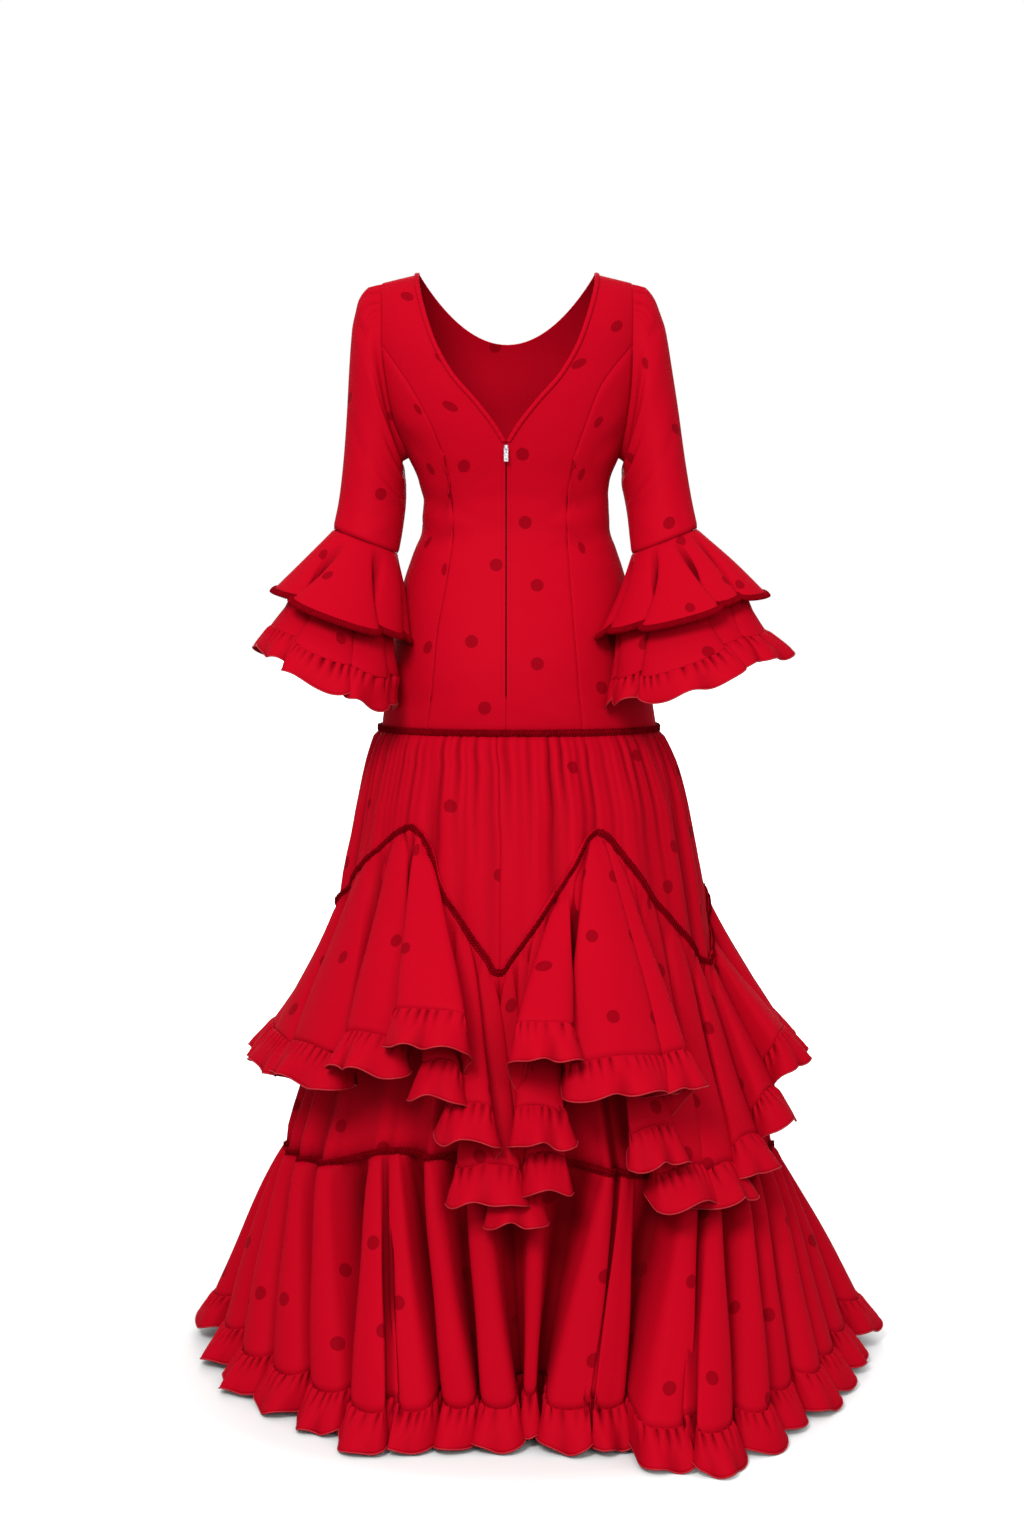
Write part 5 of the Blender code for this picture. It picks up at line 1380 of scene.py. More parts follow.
class DressRuffle(bpy.types.PropertyGroup):
    gather_pitch: length_setting("Gather pitch", "Distance between gathers at the seam", 0.0125, 0.004)
    gather_depth: length_setting("Gather depth", "Height of the gathers", 0.0036, 0.0)
    fold_pitch: length_setting("Fold pitch", "Distance between the soft folds at the hem", 0.052, 0.01)
    fold_depth: length_setting("Fold depth", "Height of the soft folds at the hem", 0.0048, 0.0)
    edge_radius: length_setting("Rolled edge", "Radius of the rolled edge", 0.0010, 0.0003)
    edge_colour: colour_setting("Edge", "Colour of the edge thread", 0.40, 0.0090, 0.018)
    edge_shade: colour_setting("Edge shade", "Darker turns of the edge thread", 0.26, 0.0045, 0.010)


class DressBraid(bpy.types.PropertyGroup):
    width: length_setting("Width", "Width of the skirt braids", 0.0076, 0.004)
    loop_pitch: length_setting("Loop pitch", "Distance between loops of the skirt braids", 0.0042, 0.002)
    loop_radius: length_setting("Loop", "Radius of a loop", 0.0021, 0.001)
    thread_radius: length_setting("Thread", "Radius of the thread of a loop", 0.0009, 0.0003)
    rib_pitch: length_setting("Rib pitch", "Distance between ribs of the cuff braids", 0.0036, 0.002)
    colour: colour_setting("Braid", "Colour of the braids", 0.20, 0.0003, 0.004)
    shade: colour_setting("Braid shade", "Darker threads of the braids", 0.09, 0.0002, 0.002)


class DressZip(bpy.types.PropertyGroup):
    stitch_length: length_setting("Stitch", "Length of a stitch beside the zip", 0.0024, 0.0005)
    stitch_pitch: length_setting("Stitch pitch", "Distance between stitches", 0.0034, 0.001)
    stitch_inset: length_setting("Stitch inset", "Distance of the stitches from the opening", 0.0058, 0.001)
    metal: colour_setting("Metal", "Colour of the slider and its pull", 0.52, 0.52, 0.54)
    metal_shade: colour_setting("Metal shade", "Worn parts of the metal", 0.24, 0.24, 0.26)
    tape: colour_setting("Tape", "Colour of the zip's tape", 0.050, 0.003, 0.006)
    tape_shade: colour_setting("Tape shade", "Darker threads of the tape", 0.018, 0.002, 0.003)


class DressStage(bpy.types.PropertyGroup):
    key_power: power_setting("Key light", "Power of the large soft light", 118.0, "POWER")
    fill_power: power_setting("Fill light", "Power of the light on the other side", 30.0, "POWER")
    front_power: power_setting("Far light", "Power of the light on the far side", 80.0, "POWER")
    room_strength: power_setting("Room light", "Strength of the pale room", 0.98)
    # Glow of the floor beyond the shadow painted at the hem
    floor_glow: power_setting("Floor glow", "Whiteness of the floor near the dress", 0.40)
    floor_colour: colour_setting("Floor", "Colour of the floor", 0.70, 0.70, 0.70)


# Pieces


def seam_allowances(grid, sides):
    """Carry the side edges of a panel inwards behind the seam, where they lie on their neighbour's."""
    inward = -grid_outward(grid)
    left = grid[:, :1] + (direction(grid[:, :1] - grid[:, 1:2]) + inward[:, :1]) * SEAM_ALLOWANCE
    right = grid[:, -1:] + (direction(grid[:, -1:] - grid[:, -2:-1]) + inward[:, -1:]) * SEAM_ALLOWANCE
    return np.concatenate([left] * ("l" in sides) + [grid] + [right] * ("r" in sides), 1)


def bodice_panel(node, places, creases, sides, shift):
    """A bodice panel on its form, creased and sunk into its seams."""
    degrees, level = places
    points = bodice_point(degrees, level)
    fade = np.clip(along(points, 0) / EDGE_FADE, 0.0, 1.0)
    height = crease_depth(points[..., 0], points[..., 2], creases) * fade
    grid = points + bodice_outward(degrees, level) * (CLOTH_LIFT + height)[..., None]
    if "l" in sides:
        grid[:, 0] += direction(grid[:, 1] - grid[:, 0]) * SEAM_GAP / 2
    if "r" in sides:
        grid[:, -1] += direction(grid[:, -2] - grid[:, -1]) * SEAM_GAP / 2
    grid = seam_allowances(turn_in(grid, sides, PANEL_SINK), sides)
    straight = 0.5 if "l" in sides and "r" in sides else float("l" in sides)
    sew(node, grid, shift, straight=straight)


class DRESS_OT_bodice(bpy.types.Operator):
    """Lay the seven panels of the bodice"""

    bl_idname = "dress.bodice"
    bl_label = "Bodice"

    def execute(self, context):
        narrow, wide = fine_edges(PANEL_STEPS), fine_edges(SIDE_STEPS)
        for number, (side, label) in enumerate(SIDES):
            places = [grid if side > 0 else grid[:, ::-1] for grid in back_places(side, narrow)]
            sides = "rb" if side > 0 else "lb"
            shift = dot_shift("bodice_back", number)
            bodice_panel("bodice_back_" + label, places, BACK_CREASES, sides, shift)
            for kind, creases in (("bodice_side_back", BACK_CREASES), ("bodice_side_front", FRONT_CREASES)):
                front = kind == "bodice_side_front"
                turned = (side < 0) != front
                places = [grid[:, ::-1] if turned else grid for grid in side_places(side, front, wide)]
                shift = dot_shift(kind, number)
                bodice_panel(kind + "_" + label, places, creases, "lrb", shift)
        places = front_places(fine_edges(FRONT_STEPS))
        shift = dot_shift("bodice_front")
        bodice_panel("bodice_front", places, FRONT_CREASES, "lrb", shift)
        return {"FINISHED"}


def neck_path(steps):
    """Points and outward directions of the neck edge, from the left of the zip round to its right."""
    sides = []
    for side, _ in SIDES:
        level = np.linspace(V_POINT_Z, 0.0, steps)
        neck = np.maximum(NECK_TABLE.one(level), NECK_POINT_HALF_WIDTH)
        climb = np.clip((level - PRINCESS_TOP_Z) / -PRINCESS_TOP_Z, 0.0, 1.0)
        x = CENTRE_BACK_X * np.minimum(1.0, level / V_POINT_Z) + side * neck
        place = np.where(climb > 0, lerp(PRINCESS_TOP_Z, shoulder_height(x), climb), level)
        degrees = bodice_angle(x, place)
        sides.append((bodice_point(degrees, place), bodice_outward(degrees, place)))
    x = np.cos(np.linspace(0, math.pi, steps)[1:-1]) * NECK_HALF_WIDTH
    place = front_top(x)
    degrees = bodice_angle(x, place, front=True)
    front = (bodice_point(degrees, place), bodice_outward(degrees, place))
    left, right = sides
    return [np.concatenate([left[which], front[which], right[which][::-1]]) for which in (0, 1)]


class DRESS_OT_neck_binding(bpy.types.Operator):
    """Bind the neck edge with a raised, slightly puckered strip"""

    bl_idname = "dress.neck_binding"
    bl_label = "Neck binding"

    def execute(self, context):
        path, out = neck_path(NECK_STEPS)
        into = direction(np.cross(out, direction(np.gradient(path, axis=0))))
        into[0], into[-1] = (1.0, 0.0, 0.0), (-1.0, 0.0, 0.0)
        pucker = PUCKER_DEPTH * np.sin(along(path[None], 1)[0] * 2 * math.pi / PUCKER_PITCH)
        path = path + out * (CLOTH_LIFT + BINDING_LIFT + pucker)[:, None]
        piece = sweep("neck_binding_strip", path, into, out, BINDING_PROFILE, "plain_crepe")
        fasten(piece, "neck_binding")
        return {"FINISHED"}


def ruffle_columns(edge_at, start, end, pitch):
    """Places between two ends, spread evenly along the seam of a ruffle, and their run along it."""
    places = np.linspace(start, end, RUFFLE_SAMPLES)
    run = along(edge_at(places)[None], 1)[0]
    even = np.linspace(0.0, run[-1], int(round(run[-1] / pitch)) + 1)
    return np.interp(even, run, places), even


def ruffle_grid(edge, hem, wave, run, way, puff):
    """Points of a ruffle: tight gathers at its seam that open into soft folds at its hem."""
    settings = bpy.context.scene.dress_ruffle
    part = np.array(RUFFLE_ROWS)[:, None]
    side_out = direction(np.cross(way * np.array([1.0, 1.0, 0.0]), np.array([0.0, 0.0, -1.0])))
    flare = 1.0 - (1.0 - part) ** RUFFLE_FLARE_POWER
    grid = lerp(edge[None], hem[None], flare[..., None])
    grid[..., 2] = lerp(edge[None, :, 2] + RUFFLE_TOP_RISE, hem[None, :, 2], part)
    phase = run * math.pi / settings.gather_pitch + waver(run, GATHER_WAVER)
    tight = np.interp(part, TIGHT_ROWS, TIGHT_SHARES) * (1.0 + waver(run, GATHER_SIZES))
    crests = 2 * np.abs(np.sin(phase)) ** RUFFLE_GATHER_POWER - RUFFLE_GATHER_SINK
    height = settings.gather_depth * tight * crests
    slow = run * 2 * math.pi / settings.fold_pitch + waver(run, FOLD_WAVER)
    height = height + settings.fold_depth * part * (0.5 + 0.5 * wave) * np.sin(slow)
    swell = RUFFLE_SWELL * part**RUFFLE_SWELL_POWER * puff
    swell = swell - RUFFLE_PINCH * (1.0 - part) ** RUFFLE_PINCH_POWER
    lift = RUFFLE_LIFT * part**2 * np.sin(slow + RUFFLE_LIFT_SHIFT) * (0.4 + 0.6 * wave)
    grid = grid + side_out[None] * (height + swell)[..., None]
    grid[..., 2] = np.maximum(grid[..., 2] + lift, FLOOR_Z + FLOOR_CLEARANCE)
    return grid


def middle_top(place):
    """Top edge of the middle flounce and the line where it leaves the braid."""
    seam = MIDDLE.seam_angle(place)
    z = zigzag_z(seam)
    before, after = zigzag_z(seam - 1.0), zigzag_z(seam + 1.0)
    run = np.radians(2.0) * np.linalg.norm(skirt_point(seam, z)[..., :2], axis=-1)
    stretch = np.hypot(after - before, run) / run
    below_braid = z - BRAID_HEIGHT * stretch
    return skirt_point(seam, z, MIDDLE_LIFT), skirt_point(seam, below_braid, MIDDLE_LIFT + LAYER_GAP)


def bottom_top(place):
    """Top edge of the bottom flounce."""
    seam = BOTTOM.seam_angle(place)
    return (skirt_point(seam, lower_z(seam), SKIRT_LIFT),)


def flounce_gathers(grid):
    """Soft gathers under the seam of a flounce, and the slight unevenness of hanging cloth."""
    run, down = along(grid, 1)[0][None, :], along(grid, 0)
    fade = np.exp(-down / FLOUNCE_GATHER_FADE) * np.clip(down / FLOUNCE_GATHER_START, 0.0, 1.0)
    phase = run * math.pi / FLOUNCE_GATHER_PITCH + waver(run, FLOUNCE_WAVER)
    tight = FLOUNCE_GATHER_DEPTH * fade * (2 * np.abs(np.sin(phase)) - 1.0)
    ends = np.clip(np.minimum(run, run[:, -1:] - run) / EDGE_FADE, 0.0, 1.0)
    sway = SWAY_DEPTH * np.sin(down * SWAY_DOWN + run * SWAY_ALONG)
    sway = sway * np.sin(math.pi * np.clip(down / down[-1:], 0.0, 1.0))
    return grid + grid_outward(grid) * (ends * (tight + sway))[..., None]


def lay_flounce(flounce, top_at):
    """Four sections of a flounce, their ruffles and the rolled edges of these."""
    kind = flounce.label + "_flounce"
    for gore, corner in enumerate(GORE_NAMES):
        start, end = flounce.gores[gore : gore + 2]
        place = np.linspace(start, end, (end - start) * COLUMNS_PER_LOBE + 1)
        *behind_braid, top = top_at(place)
        edge, course = flounce.edges(place)[0], flounce.course(place)
        grid = fall(top, edge, course, np.linspace(0.0, 1.0, FLOUNCE_ROWS))
        grid = np.concatenate([*(line[None] for line in behind_braid), grid])
        grid = turn_in(flounce_gathers(grid), "b", SEAM_SINK)
        piece = sew(kind + "_" + corner, grid, shift=dot_shift(kind, gore))
        place, run = ruffle_columns(lambda at: flounce.edges(at)[0], start, end, SKIRT_RUFFLE_PITCH)
        way = flounce.edges(place + 0.01)[0] - flounce.edges(place - 0.01)[0]
        frill = ruffle_grid(*flounce.edges(place), run, way, flounce.puff)
        sew(kind + "_ruffle_" + corner, frill, ruffle=True)


class DRESS_OT_under_skirt(bpy.types.Operator):
    """Gather the under-skirt in four gores"""

    bl_idname = "dress.under_skirt"
    bl_label = "Under-skirt"

    def execute(self, context):
        gathered = np.linspace(0.0, GORE_TOP_SHARE, GORE_TOP_ROWS)[:-1]
        part = np.concatenate([gathered, np.linspace(GORE_TOP_SHARE, 1.0, GORE_ROWS)])[:, None]
        for gore, corner in enumerate(GORE_NAMES):
            degrees = BACK_SEAM_DEG + 90.0 * (gore + fine_edges(GORE_STEPS))
            level = lerp(HIP_SEAM_Z, lower_z(degrees)[None, :], part)
            grid = turn_in(skirt_point(degrees, level, SKIRT_LIFT), "lr", SEAM_SINK)
            sew("under_skirt_" + corner, grid, shift=dot_shift("under_skirt", gore))
        return {"FINISHED"}


class DRESS_OT_middle_flounce(bpy.types.Operator):
    """Hang the middle flounce from its zigzag seam"""

    bl_idname = "dress.middle_flounce"
    bl_label = "Middle flounce"

    def execute(self, context):
        lay_flounce(MIDDLE, middle_top)
        return {"FINISHED"}


class DRESS_OT_bottom_flounce(bpy.types.Operator):
    """Hang the bottom flounce"""

    bl_idname = "dress.bottom_flounce"
    bl_label = "Bottom flounce"

    def execute(self, context):
        lay_flounce(BOTTOM, bottom_top)
        return {"FINISHED"}


class DRESS_OT_sleeves(bpy.types.Operator):
    """Set the two sleeves into their armholes"""

    bl_idname = "dress.sleeves"
    bl_label = "Sleeves"

    def execute(self, context):
        turn = np.linspace(0.0, 1.0, SLEEVE_COLUMNS, endpoint=False)[None, :]
        head = np.linspace(-1.0, 2.0, HEAD_ROWS)[:-1]
        ring = np.concatenate([head, np.linspace(2.0, 7.0, SLEEVE_ROWS)])[:, None]
        blend, step_out, gather = np.moveaxis(Table(SLEEVE_HEAD)(ring), -1, 0)
        on_head = np.clip((HEAD_REACH - np.minimum(turn, 1.0 - turn)) / HEAD_RAMP, 0.0, 1.0)
        phase = turn * 2 * math.pi * HEAD_GATHERS + waver(turn, HEAD_WAVER)
        puff = HEAD_GATHER_SHARE * gather * on_head * np.sin(phase)
        puff = puff + crease_depth(turn * SLEEVE_ROUND, ring * SLEEVE_RING, SLEEVE_CREASES)
        puff = np.concatenate([np.zeros_like(puff[:1]), puff])
        for number, arm in enumerate(ARMS):
            loop = armhole_loop(arm.side, turn[0])[None]
            near = loop + np.array([arm.side, 0.0, -1.0 / 3.0]) * step_out[..., None]
            far = arm_point(ring_table(arm.sleeve), ring, arm.side, turn, CLOTH_LIFT * blend)
            hidden = loop * ARMHOLE_ALLOWANCE + np.array([0.0, 0.0, -SEAM_ALLOWANCE])
            grid = np.concatenate([hidden, lerp(near, far, blend[..., None])])
            ahead = -arm.side
            grid = grid[:, ::ahead]
            grid = grid + grid_outward(grid, True) * puff[:, ::ahead][..., None]
            grid = turn_in(grid, "b", SEAM_SINK, closed=True)
            sew("sleeve_" + arm.label, grid, dot_shift("sleeve", number), closed=True)
        return {"FINISHED"}


def cuff_folds(lobes, at):
    """Turn of the smooth ring, turn of the folded ring and height of its folds at shares round a cuff."""
    crest, half, lift = np.array([tuple(lobe) for lobe in lobes]).T
    count = len(crest)
    after = np.append(crest[1:] - half[1:], 1.0 + crest[0] - half[0])
    pleat = (crest + half + after) / 2
    before = np.append(pleat[-1] - 1.0, pleat[:-1])
    turns = [before + CUFF_PLEAT_HALF, crest - half, crest, crest + half, pleat - CUFF_PLEAT_HALF]
    low = np.full(count, CUFF_PLEAT_HEIGHT)
    heights = [low, lift - CUFF_SHOULDER, lift, lift - CUFF_SHOULDER, low]
    marks = np.stack([np.stack(turns, 1).ravel(), np.stack(heights, 1).ravel()], -1)
    folded = closed_curve(marks, at * count * MARKS_PER_LOBE - 0.5, np.array([1.0, 0.0]))
    places = (np.arange(-1, count + 1) + 0.5) / count
    smooth = np.interp(at, places, np.concatenate([[crest[-1] - 1.0], crest, [crest[0] + 1.0]]))
    return smooth, folded[..., 0], folded[..., 1]


class Cuff:
    """A cuff flounce thrown into lobes that pleat in behind each other, their crests drooped or lifted."""

    def __init__(self, side, rings, waves, lobes, droop):
        self.side, self.lobes, self.droop = side, lobes, droop
        self.rings, self.waves = ring_table(rings), Table(list(enumerate(waves)))

    def line(self, ring, at):
        """Points of a ring, or of rings, at shares of a turn round the cuff."""
        ring = np.asarray(ring, dtype=float)
        wave = self.waves.one(ring)
        smooth, folded, height = cuff_folds(self.lobes, at)
        turn = lerp(smooth, folded, np.minimum(wave, 1.0))
        points = arm_point(self.rings, ring, self.side, turn, CUFF_WAVE * wave * height)
        points[..., 2] -= self.droop * wave * height
        return points

    def grid(self, rings, columns):
        """Rows of points on the rings, turned so that their columns run the same way round the dress."""
        turn = np.linspace(0.0, 1.0, columns, endpoint=False)[None]
        return self.ordered(self.line(np.asarray(rings, dtype=float)[:, None], turn))

    def ordered(self, grid):
        """The columns in the order of growing angle."""
        return np.roll(grid[:, ::-1], 1, 1) if self.side > 0 else grid


def upper_cuff(arm):
    """The upper cuff of an arm, which also carries the cuff's braid."""
    return Cuff(arm.side, arm.cuff, UPPER_CUFF_WAVES, arm.lobes, UPPER_DROOP)


class DRESS_OT_cuffs(bpy.types.Operator):
    """Hang the upper and lower flounces of the cuffs, with their ruffles"""

    bl_idname = "dress.cuffs"
    bl_label = "Cuffs"

    def execute(self, context):
        for number, arm in enumerate(ARMS):
            self.lay(number, arm)
        return {"FINISHED"}

    def lay(self, number, arm):
        upper = upper_cuff(arm)
        grid = upper.grid(np.linspace(0.0, 2.0, CUFF_ROWS), CUFF_COLUMNS)
        grid = turn_in(grid, "t", SEAM_SINK, closed=True)
        shift = dot_shift("cuff_flounce", number)
        cloth = sew("cuff_flounce_" + arm.label, grid, shift=shift, closed=True)
        halfway = len(grid) // 2
        joined = upper.grid([1.0], CUFF_COLUMNS)
        joined = joined - grid_outward(grid, True)[halfway : halfway + 1] * CUFF_JOIN_DEPTH
        lower = Cuff(arm.side, arm.lower_cuff, LOWER_CUFF_WAVES, arm.lower_lobes, LOWER_DROOP)
        lines = lower.grid(np.linspace(0.0, 1.0, LOWER_CUFF_ROWS), CUFF_COLUMNS)
        under = lerp(joined, lines[:1], np.linspace(0.0, 1.0, UNDER_CUFF_ROWS)[:-1, None, None])
        grid = np.concatenate([under, lines])
        shift = dot_shift("cuff_lower_flounce", number)
        cloth = sew("cuff_lower_flounce_" + arm.label, grid, shift=shift, closed=True)
        turns, run = ruffle_columns(lambda at: lower.line(1.0, at), 0.0, 1.0, CUFF_RUFFLE_PITCH)
        turns, run = turns[:-1], run[:-1]
        way = lower.line(1.0, turns + 0.002) - lower.line(1.0, turns - 0.002)
        edge, hem, way = lower.ordered(np.stack([lower.line(1.0, turns), lower.line(2.0, turns), way]))
        crest = np.clip(0.5 + 0.5 * cuff_folds(lower.lobes, turns)[2], 0.0, 1.0)
        frill = ruffle_grid(edge, hem, crest, run, -arm.side * way, CUFF_PUFF)
        sew("cuff_ruffle_" + arm.label, frill, closed=True, ruffle=True)


def repeated(name, form, places, across, along_way, out, finish):
    """One mesh of copies of a small form, each laid on its place with its own three directions."""
    points = np.array([vertex.co for vertex in form.data.vertices])
    faces = [list(polygon.vertices) for polygon in form.data.polygons]
    bpy.data.objects.remove(form)
    frames = np.stack([along_way, across, out], 1)
    moved = places[:, None] + np.einsum("pi,nij->npj", points, frames)
    size = len(points)
    copies = [[corner + index * size for corner in face] for index in range(len(places)) for face in faces]
    return face_outwards(new_piece(name, moved, copies, finish))


def loop_form():
    """A loop of gimp."""
    settings = bpy.context.scene.dress_braid
    bpy.ops.object.select_all(action="DESELECT")
    bpy.ops.mesh.primitive_torus_add(
        major_segments=8,
        minor_segments=3,
        major_radius=settings.loop_radius,
        minor_radius=settings.thread_radius,
    )
    return bpy.context.object


def bead_form(segments, rings, scale):
    """A rounded rib or stitch of a given half size."""
    bpy.ops.object.select_all(action="DESELECT")
    bpy.ops.mesh.primitive_uv_sphere_add(segments=segments, ring_count=rings, radius=1.0)
    bpy.context.object.scale = scale
    bpy.ops.object.transform_apply(location=False, rotation=False, scale=True)
    return bpy.context.object


def braid_course(middle, pitch, up, out):
    """Places at an even pitch along a closed braid, with its directions up, out and along."""
    looped = np.concatenate([middle, middle[:1]])
    run = along(looped[None], 1)[0]
    at = np.linspace(0.0, run[-1], int(round(run[-1] / pitch)), endpoint=False)
    sampled = []
    for line in (middle, up, out):
        line = np.concatenate([line, line[:1]])
        sampled.append(np.stack([np.interp(at, run, line[:, axis]) for axis in range(3)], -1))
    path, up, out = sampled
    out = direction(out)
    up = direction(up - out * (up * out).sum(-1, keepdims=True))
    return path, up, out, np.cross(up, out)


def looped_braid(name, upper, lower, out, clearance):
    """Two rows of loops on a flat band between an upper and a lower line."""
    settings = bpy.context.scene.dress_braid
    middle = (upper + lower) / 2 + out * clearance
    path, up, out, way = braid_course(middle, settings.loop_pitch, direction(upper - lower), out)
    half = settings.width / 2
    foot, top = half * BAND_FOOT, half * BAND_TOP
    profile = [(-foot, 0.0), (-top, BAND_THICKNESS), (top, BAND_THICKNESS), (foot, 0.0)]
    band = sweep(name + "_band", path, up, out, profile, "looped_gimp", closed=True)
    rows = []
    for row in (-1, 1):
        offset = row * (half - settings.loop_radius * LOOP_INSET_SHARE)
        wobble = waver(np.arange(len(path)), [LOOP_WOBBLE._replace(shift=row)])
        place = path + up * (offset + wobble)[:, None] + out * LOOP_RISE
        place = place + way * (settings.loop_pitch / 4 * row)
        tilt = LOOP_TILT * row
        across = up * math.cos(tilt) + way * math.sin(tilt)
        rows.append((place, across, way * math.cos(tilt) - up * math.sin(tilt), out))
    loops = repeated(name + "_gimp", loop_form(), *map(np.concatenate, zip(*rows)), "looped_gimp")
    for piece in (band, loops):
        fasten(piece, name)


class DRESS_OT_skirt_braids(bpy.types.Operator):
    """Sew the looped braids on the hip, zigzag and lower seams"""

    bl_idname = "dress.skirt_braids"
    bl_label = "Skirt braids"

    def execute(self, context):
        half = BRAID_HEIGHT / 2
        degrees = np.linspace(0.0, 360.0, HIP_SAMPLES, endpoint=False)
        upper = section_point(BODY_TABLE, degrees, HIP_SEAM_Z + half)
        lower = skirt_point(degrees, HIP_SEAM_Z - half)
        looped_braid("hip_braid", upper, lower, radial(degrees), HIP_BRAID_LIFT)
        place = np.linspace(0.0, MIDDLE.count, SEAM_SAMPLES, endpoint=False)
        top, under = middle_top(place)
        upper, lower = [lerp(top, under, share) for share in ZIGZAG_BRAID_SHARES]
        looped_braid("zigzag_braid", upper, lower, radial(MIDDLE.seam_angle(place)), ZIGZAG_BRAID_LIFT)
        seam = BOTTOM.seam_angle(np.linspace(0.0, BOTTOM.count, SEAM_SAMPLES, endpoint=False))
        upper, lower = [skirt_point(seam, lower_z(seam) + rise) for rise in (half, -half)]
        looped_braid("lower_braid", upper, lower, radial(seam), LOWER_BRAID_LIFT)
        return {"FINISHED"}


class DRESS_OT_cuff_braids(bpy.types.Operator):
    """Sew the ribbed braids on the edges of the upper cuff flounces"""

    bl_idname = "dress.cuff_braids"
    bl_label = "Cuff braids"

    def execute(self, context):
        pitch = context.scene.dress_braid.rib_pitch
        rib_size = (pitch * RIB_SHARES[0], CUFF_BRAID_HEIGHT * RIB_SHARES[1], RIB_THICKNESS)
        for arm in ARMS:
            grid = upper_cuff(arm).grid([1.8, 2.0], CUFF_EDGE_SAMPLES)
            out = grid_outward(grid, True)[1]
            up = direction(grid[0] - grid[1])
            middle = grid[1] + up * (CUFF_BRAID_HEIGHT * RIB_RISE_SHARE) + out * CUFF_BRAID_LIFT
            path, up, out, way = braid_course(middle, pitch, up, out)
            name = "cuff_braid_" + arm.label
            ribs = repeated(name + "_ribs", bead_form(8, 6, rib_size), path, up, way, out, "looped_gimp")
            band = sweep(name + "_band", path, up, out, CUFF_BAND_PROFILE, "looped_gimp", closed=True)
            for piece in (ribs, band):
                fasten(piece, name)
        return {"FINISHED"}


class DRESS_OT_zip(bpy.types.Operator):
    """Finish the zip and sew its two rows of stitches"""

    bl_idname = "dress.zip"
    bl_label = "Zip"

    def execute(self, context):
        settings = context.scene.dress_zip
        finishes = {"zip_tape": "zip_tape_weave", "zip_slider": "zip_nickel", "zip_pull": "zip_nickel"}
        for node, kind in finishes.items():
            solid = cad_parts[node]
            solid.data.materials.clear()
            solid.data.materials.append(finish_of(kind))
        level = np.arange(ZIP_BOTTOM_Z, ZIP_TOP_Z, settings.stitch_pitch)
        for side, label in SIDES:
            degrees = bodice_angle(CENTRE_BACK_X + side * settings.stitch_inset, level)
            out = bodice_outward(degrees, level)
            places = bodice_point(degrees, level) + out * (CLOTH_LIFT + STITCH_LIFT)
            way = direction(np.gradient(places, axis=0))
            stitch = bead_form(6, 4, (settings.stitch_length / 2, *STITCH_SECTION))
            name = "zip_stitches_" + label
            piece = repeated(name, stitch, places, np.cross(out, way), way, out, "plain_crepe")
            fasten(piece)
        return {"FINISHED"}


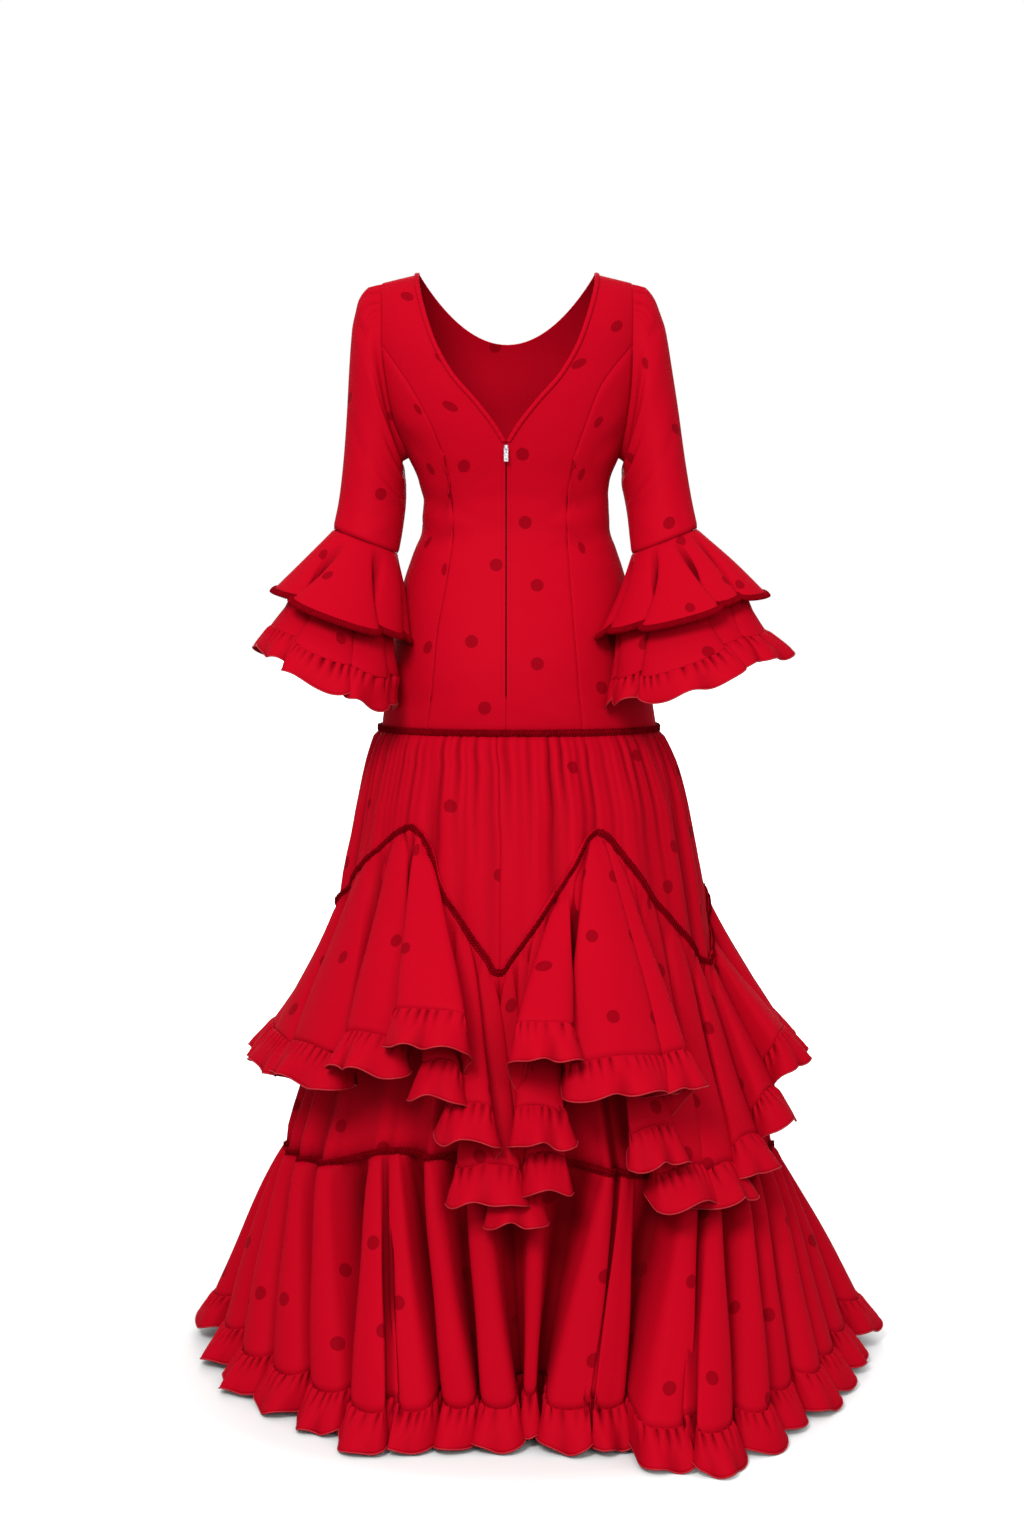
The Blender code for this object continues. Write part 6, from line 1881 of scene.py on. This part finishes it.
class DRESS_OT_stage(bpy.types.Operator):
    """Set out the floor, soft lights and camera"""

    bl_idname = "dress.stage"
    bl_label = "Stage"

    def execute(self, context):
        settings = context.scene.dress_stage
        bpy.ops.object.select_all(action="DESELECT")
        bpy.ops.mesh.primitive_plane_add(size=FLOOR_SIZE, location=(0.0, 0.0, FLOOR_Z))
        floor = context.object
        floor.name = "floor"
        floor.data.materials.append(self.floor_finish(settings))
        for lamp in LAMPS:
            self.light(lamp, getattr(settings, lamp.power))
        self.room(context.scene, settings)
        context.scene.view_settings.view_transform = "Standard"
        bpy.ops.object.camera_add(location=CAMERA_PLACE, rotation=(math.pi / 2, 0.0, math.pi))
        camera = context.object
        camera.name = "dress_camera"
        camera.data.sensor_width = 36.0
        camera.data.lens = CAMERA_LENS
        camera.data.shift_y = CAMERA_SHIFT
        context.scene.camera = camera
        return {"FINISHED"}

    def room(self, scene, settings):
        """A pale room that the camera sees as white."""
        world = bpy.data.worlds.new("pale_room")
        scene.world = world
        world.use_nodes = True
        nodes, links = world.node_tree.nodes, world.node_tree.links
        soft, white = nodes["Background"], nodes.new("ShaderNodeBackground")
        soft.inputs["Strength"].default_value = settings.room_strength
        white.inputs["Strength"].default_value = 1.0
        for background in (soft, white):
            background.inputs["Color"].default_value = WHITE
        seen, path = nodes.new("ShaderNodeMixShader"), nodes.new("ShaderNodeLightPath")
        links.new(path.outputs["Is Camera Ray"], seen.inputs[0])
        links.new(soft.outputs[0], seen.inputs[1])
        links.new(white.outputs[0], seen.inputs[2])
        links.new(seen.outputs[0], nodes["World Output"].inputs["Surface"])

    def floor_finish(self, settings):
        """White floor that melts into the white room behind it, with a soft shadow at the hem that is
        partly real and partly painted where its glow is held back.
        """
        made = Finish("pale_floor")
        place = made.object_place()
        tone = tuple(settings.floor_colour)
        paler = tuple(min(1.0, value * FLOOR_PATCH_TONE) for value in tone[:3]) + (1.0,)
        colour = made.mix(made.noise(place, FLOOR_PATCH_SCALE), tone, paler)
        away = made.node("ShaderNodeVectorMath", {"operation": "LENGTH"}, {0: place}, output="Value")
        far = ((away - WHITE_REACH) / WHITE_RAMP).clamped()
        # Painted shadow: near the hem the glow is held back to black, which darkens the floor there as if
        # in shade
        clear = ((away - SHADOW_REACH) / SHADOW_RAMP).clamped()
        glow = made.mix(clear, BLACK, [settings.floor_glow] * 3 + [1.0])
        by_camera = made.node("ShaderNodeLightPath", {}, {}, output="Is Camera Ray")
        return made.paint(
            Base_Color=made.mix(by_camera, DULL, colour),
            Roughness=0.9,
            Emission_Color=made.mix(by_camera, BLACK, made.mix(far, glow, WHITE)),
            Emission_Strength=1.0,
        )

    def light(self, lamp, power):
        """A soft round light that looks at the middle of the dress."""
        data = bpy.data.lights.new(lamp.name, "AREA")
        data.energy = power
        data.shape = "DISK"
        data.size = lamp.size
        light = bpy.data.objects.new(lamp.name, data)
        bpy.context.scene.collection.objects.link(light)
        light.location = lamp.place
        x, y, z = np.array(LIGHT_AIM) - np.array(lamp.place)
        pitch, turn = math.atan2(z, math.hypot(x, y)), math.atan2(y, x)
        light.rotation_euler = (math.pi / 2 + pitch, 0.0, turn - math.pi / 2)


SETTINGS = (
    ("Cloth", "dress_cloth", DressCloth),
    ("Ruffles", "dress_ruffle", DressRuffle),
    ("Braids", "dress_braid", DressBraid),
    ("Zip", "dress_zip", DressZip),
    ("Stage", "dress_stage", DressStage),
)
PIECES = (
    DRESS_OT_bodice,
    DRESS_OT_neck_binding,
    DRESS_OT_zip,
    DRESS_OT_sleeves,
    DRESS_OT_cuffs,
    DRESS_OT_cuff_braids,
    DRESS_OT_under_skirt,
    DRESS_OT_middle_flounce,
    DRESS_OT_bottom_flounce,
    DRESS_OT_skirt_braids,
    DRESS_OT_stage,
)


class DRESS_PT_panel(bpy.types.Panel):
    """Sizes, colours and pieces of the dress"""

    bl_label = "Flamenco Dress"
    bl_space_type = "VIEW_3D"
    bl_region_type = "UI"
    bl_category = "Dress"

    def draw(self, context):
        for title, name, _ in SETTINGS:
            box = self.layout.box()
            box.label(text=title)
            group = getattr(context.scene, name)
            for key in group.bl_rna.properties.keys():
                if key not in ("rna_type", "name"):
                    box.prop(group, key)
        for operator in PIECES:
            self.layout.operator(operator.bl_idname)


CLASSES = (*(group for _, _, group in SETTINGS), *PIECES, DRESS_PT_panel)


def register():
    for kind in CLASSES:
        bpy.utils.register_class(kind)
    for _, name, group in SETTINGS:
        setattr(bpy.types.Scene, name, bpy.props.PointerProperty(type=group))


def unregister():
    for _, name, _ in SETTINGS:
        delattr(bpy.types.Scene, name)
    for kind in reversed(CLASSES):
        bpy.utils.unregister_class(kind)


def main():
    register()
    for operator in PIECES:
        group, name = operator.bl_idname.split(".")
        getattr(getattr(bpy.ops, group), name)()


if __name__ == "__main__":
    main()
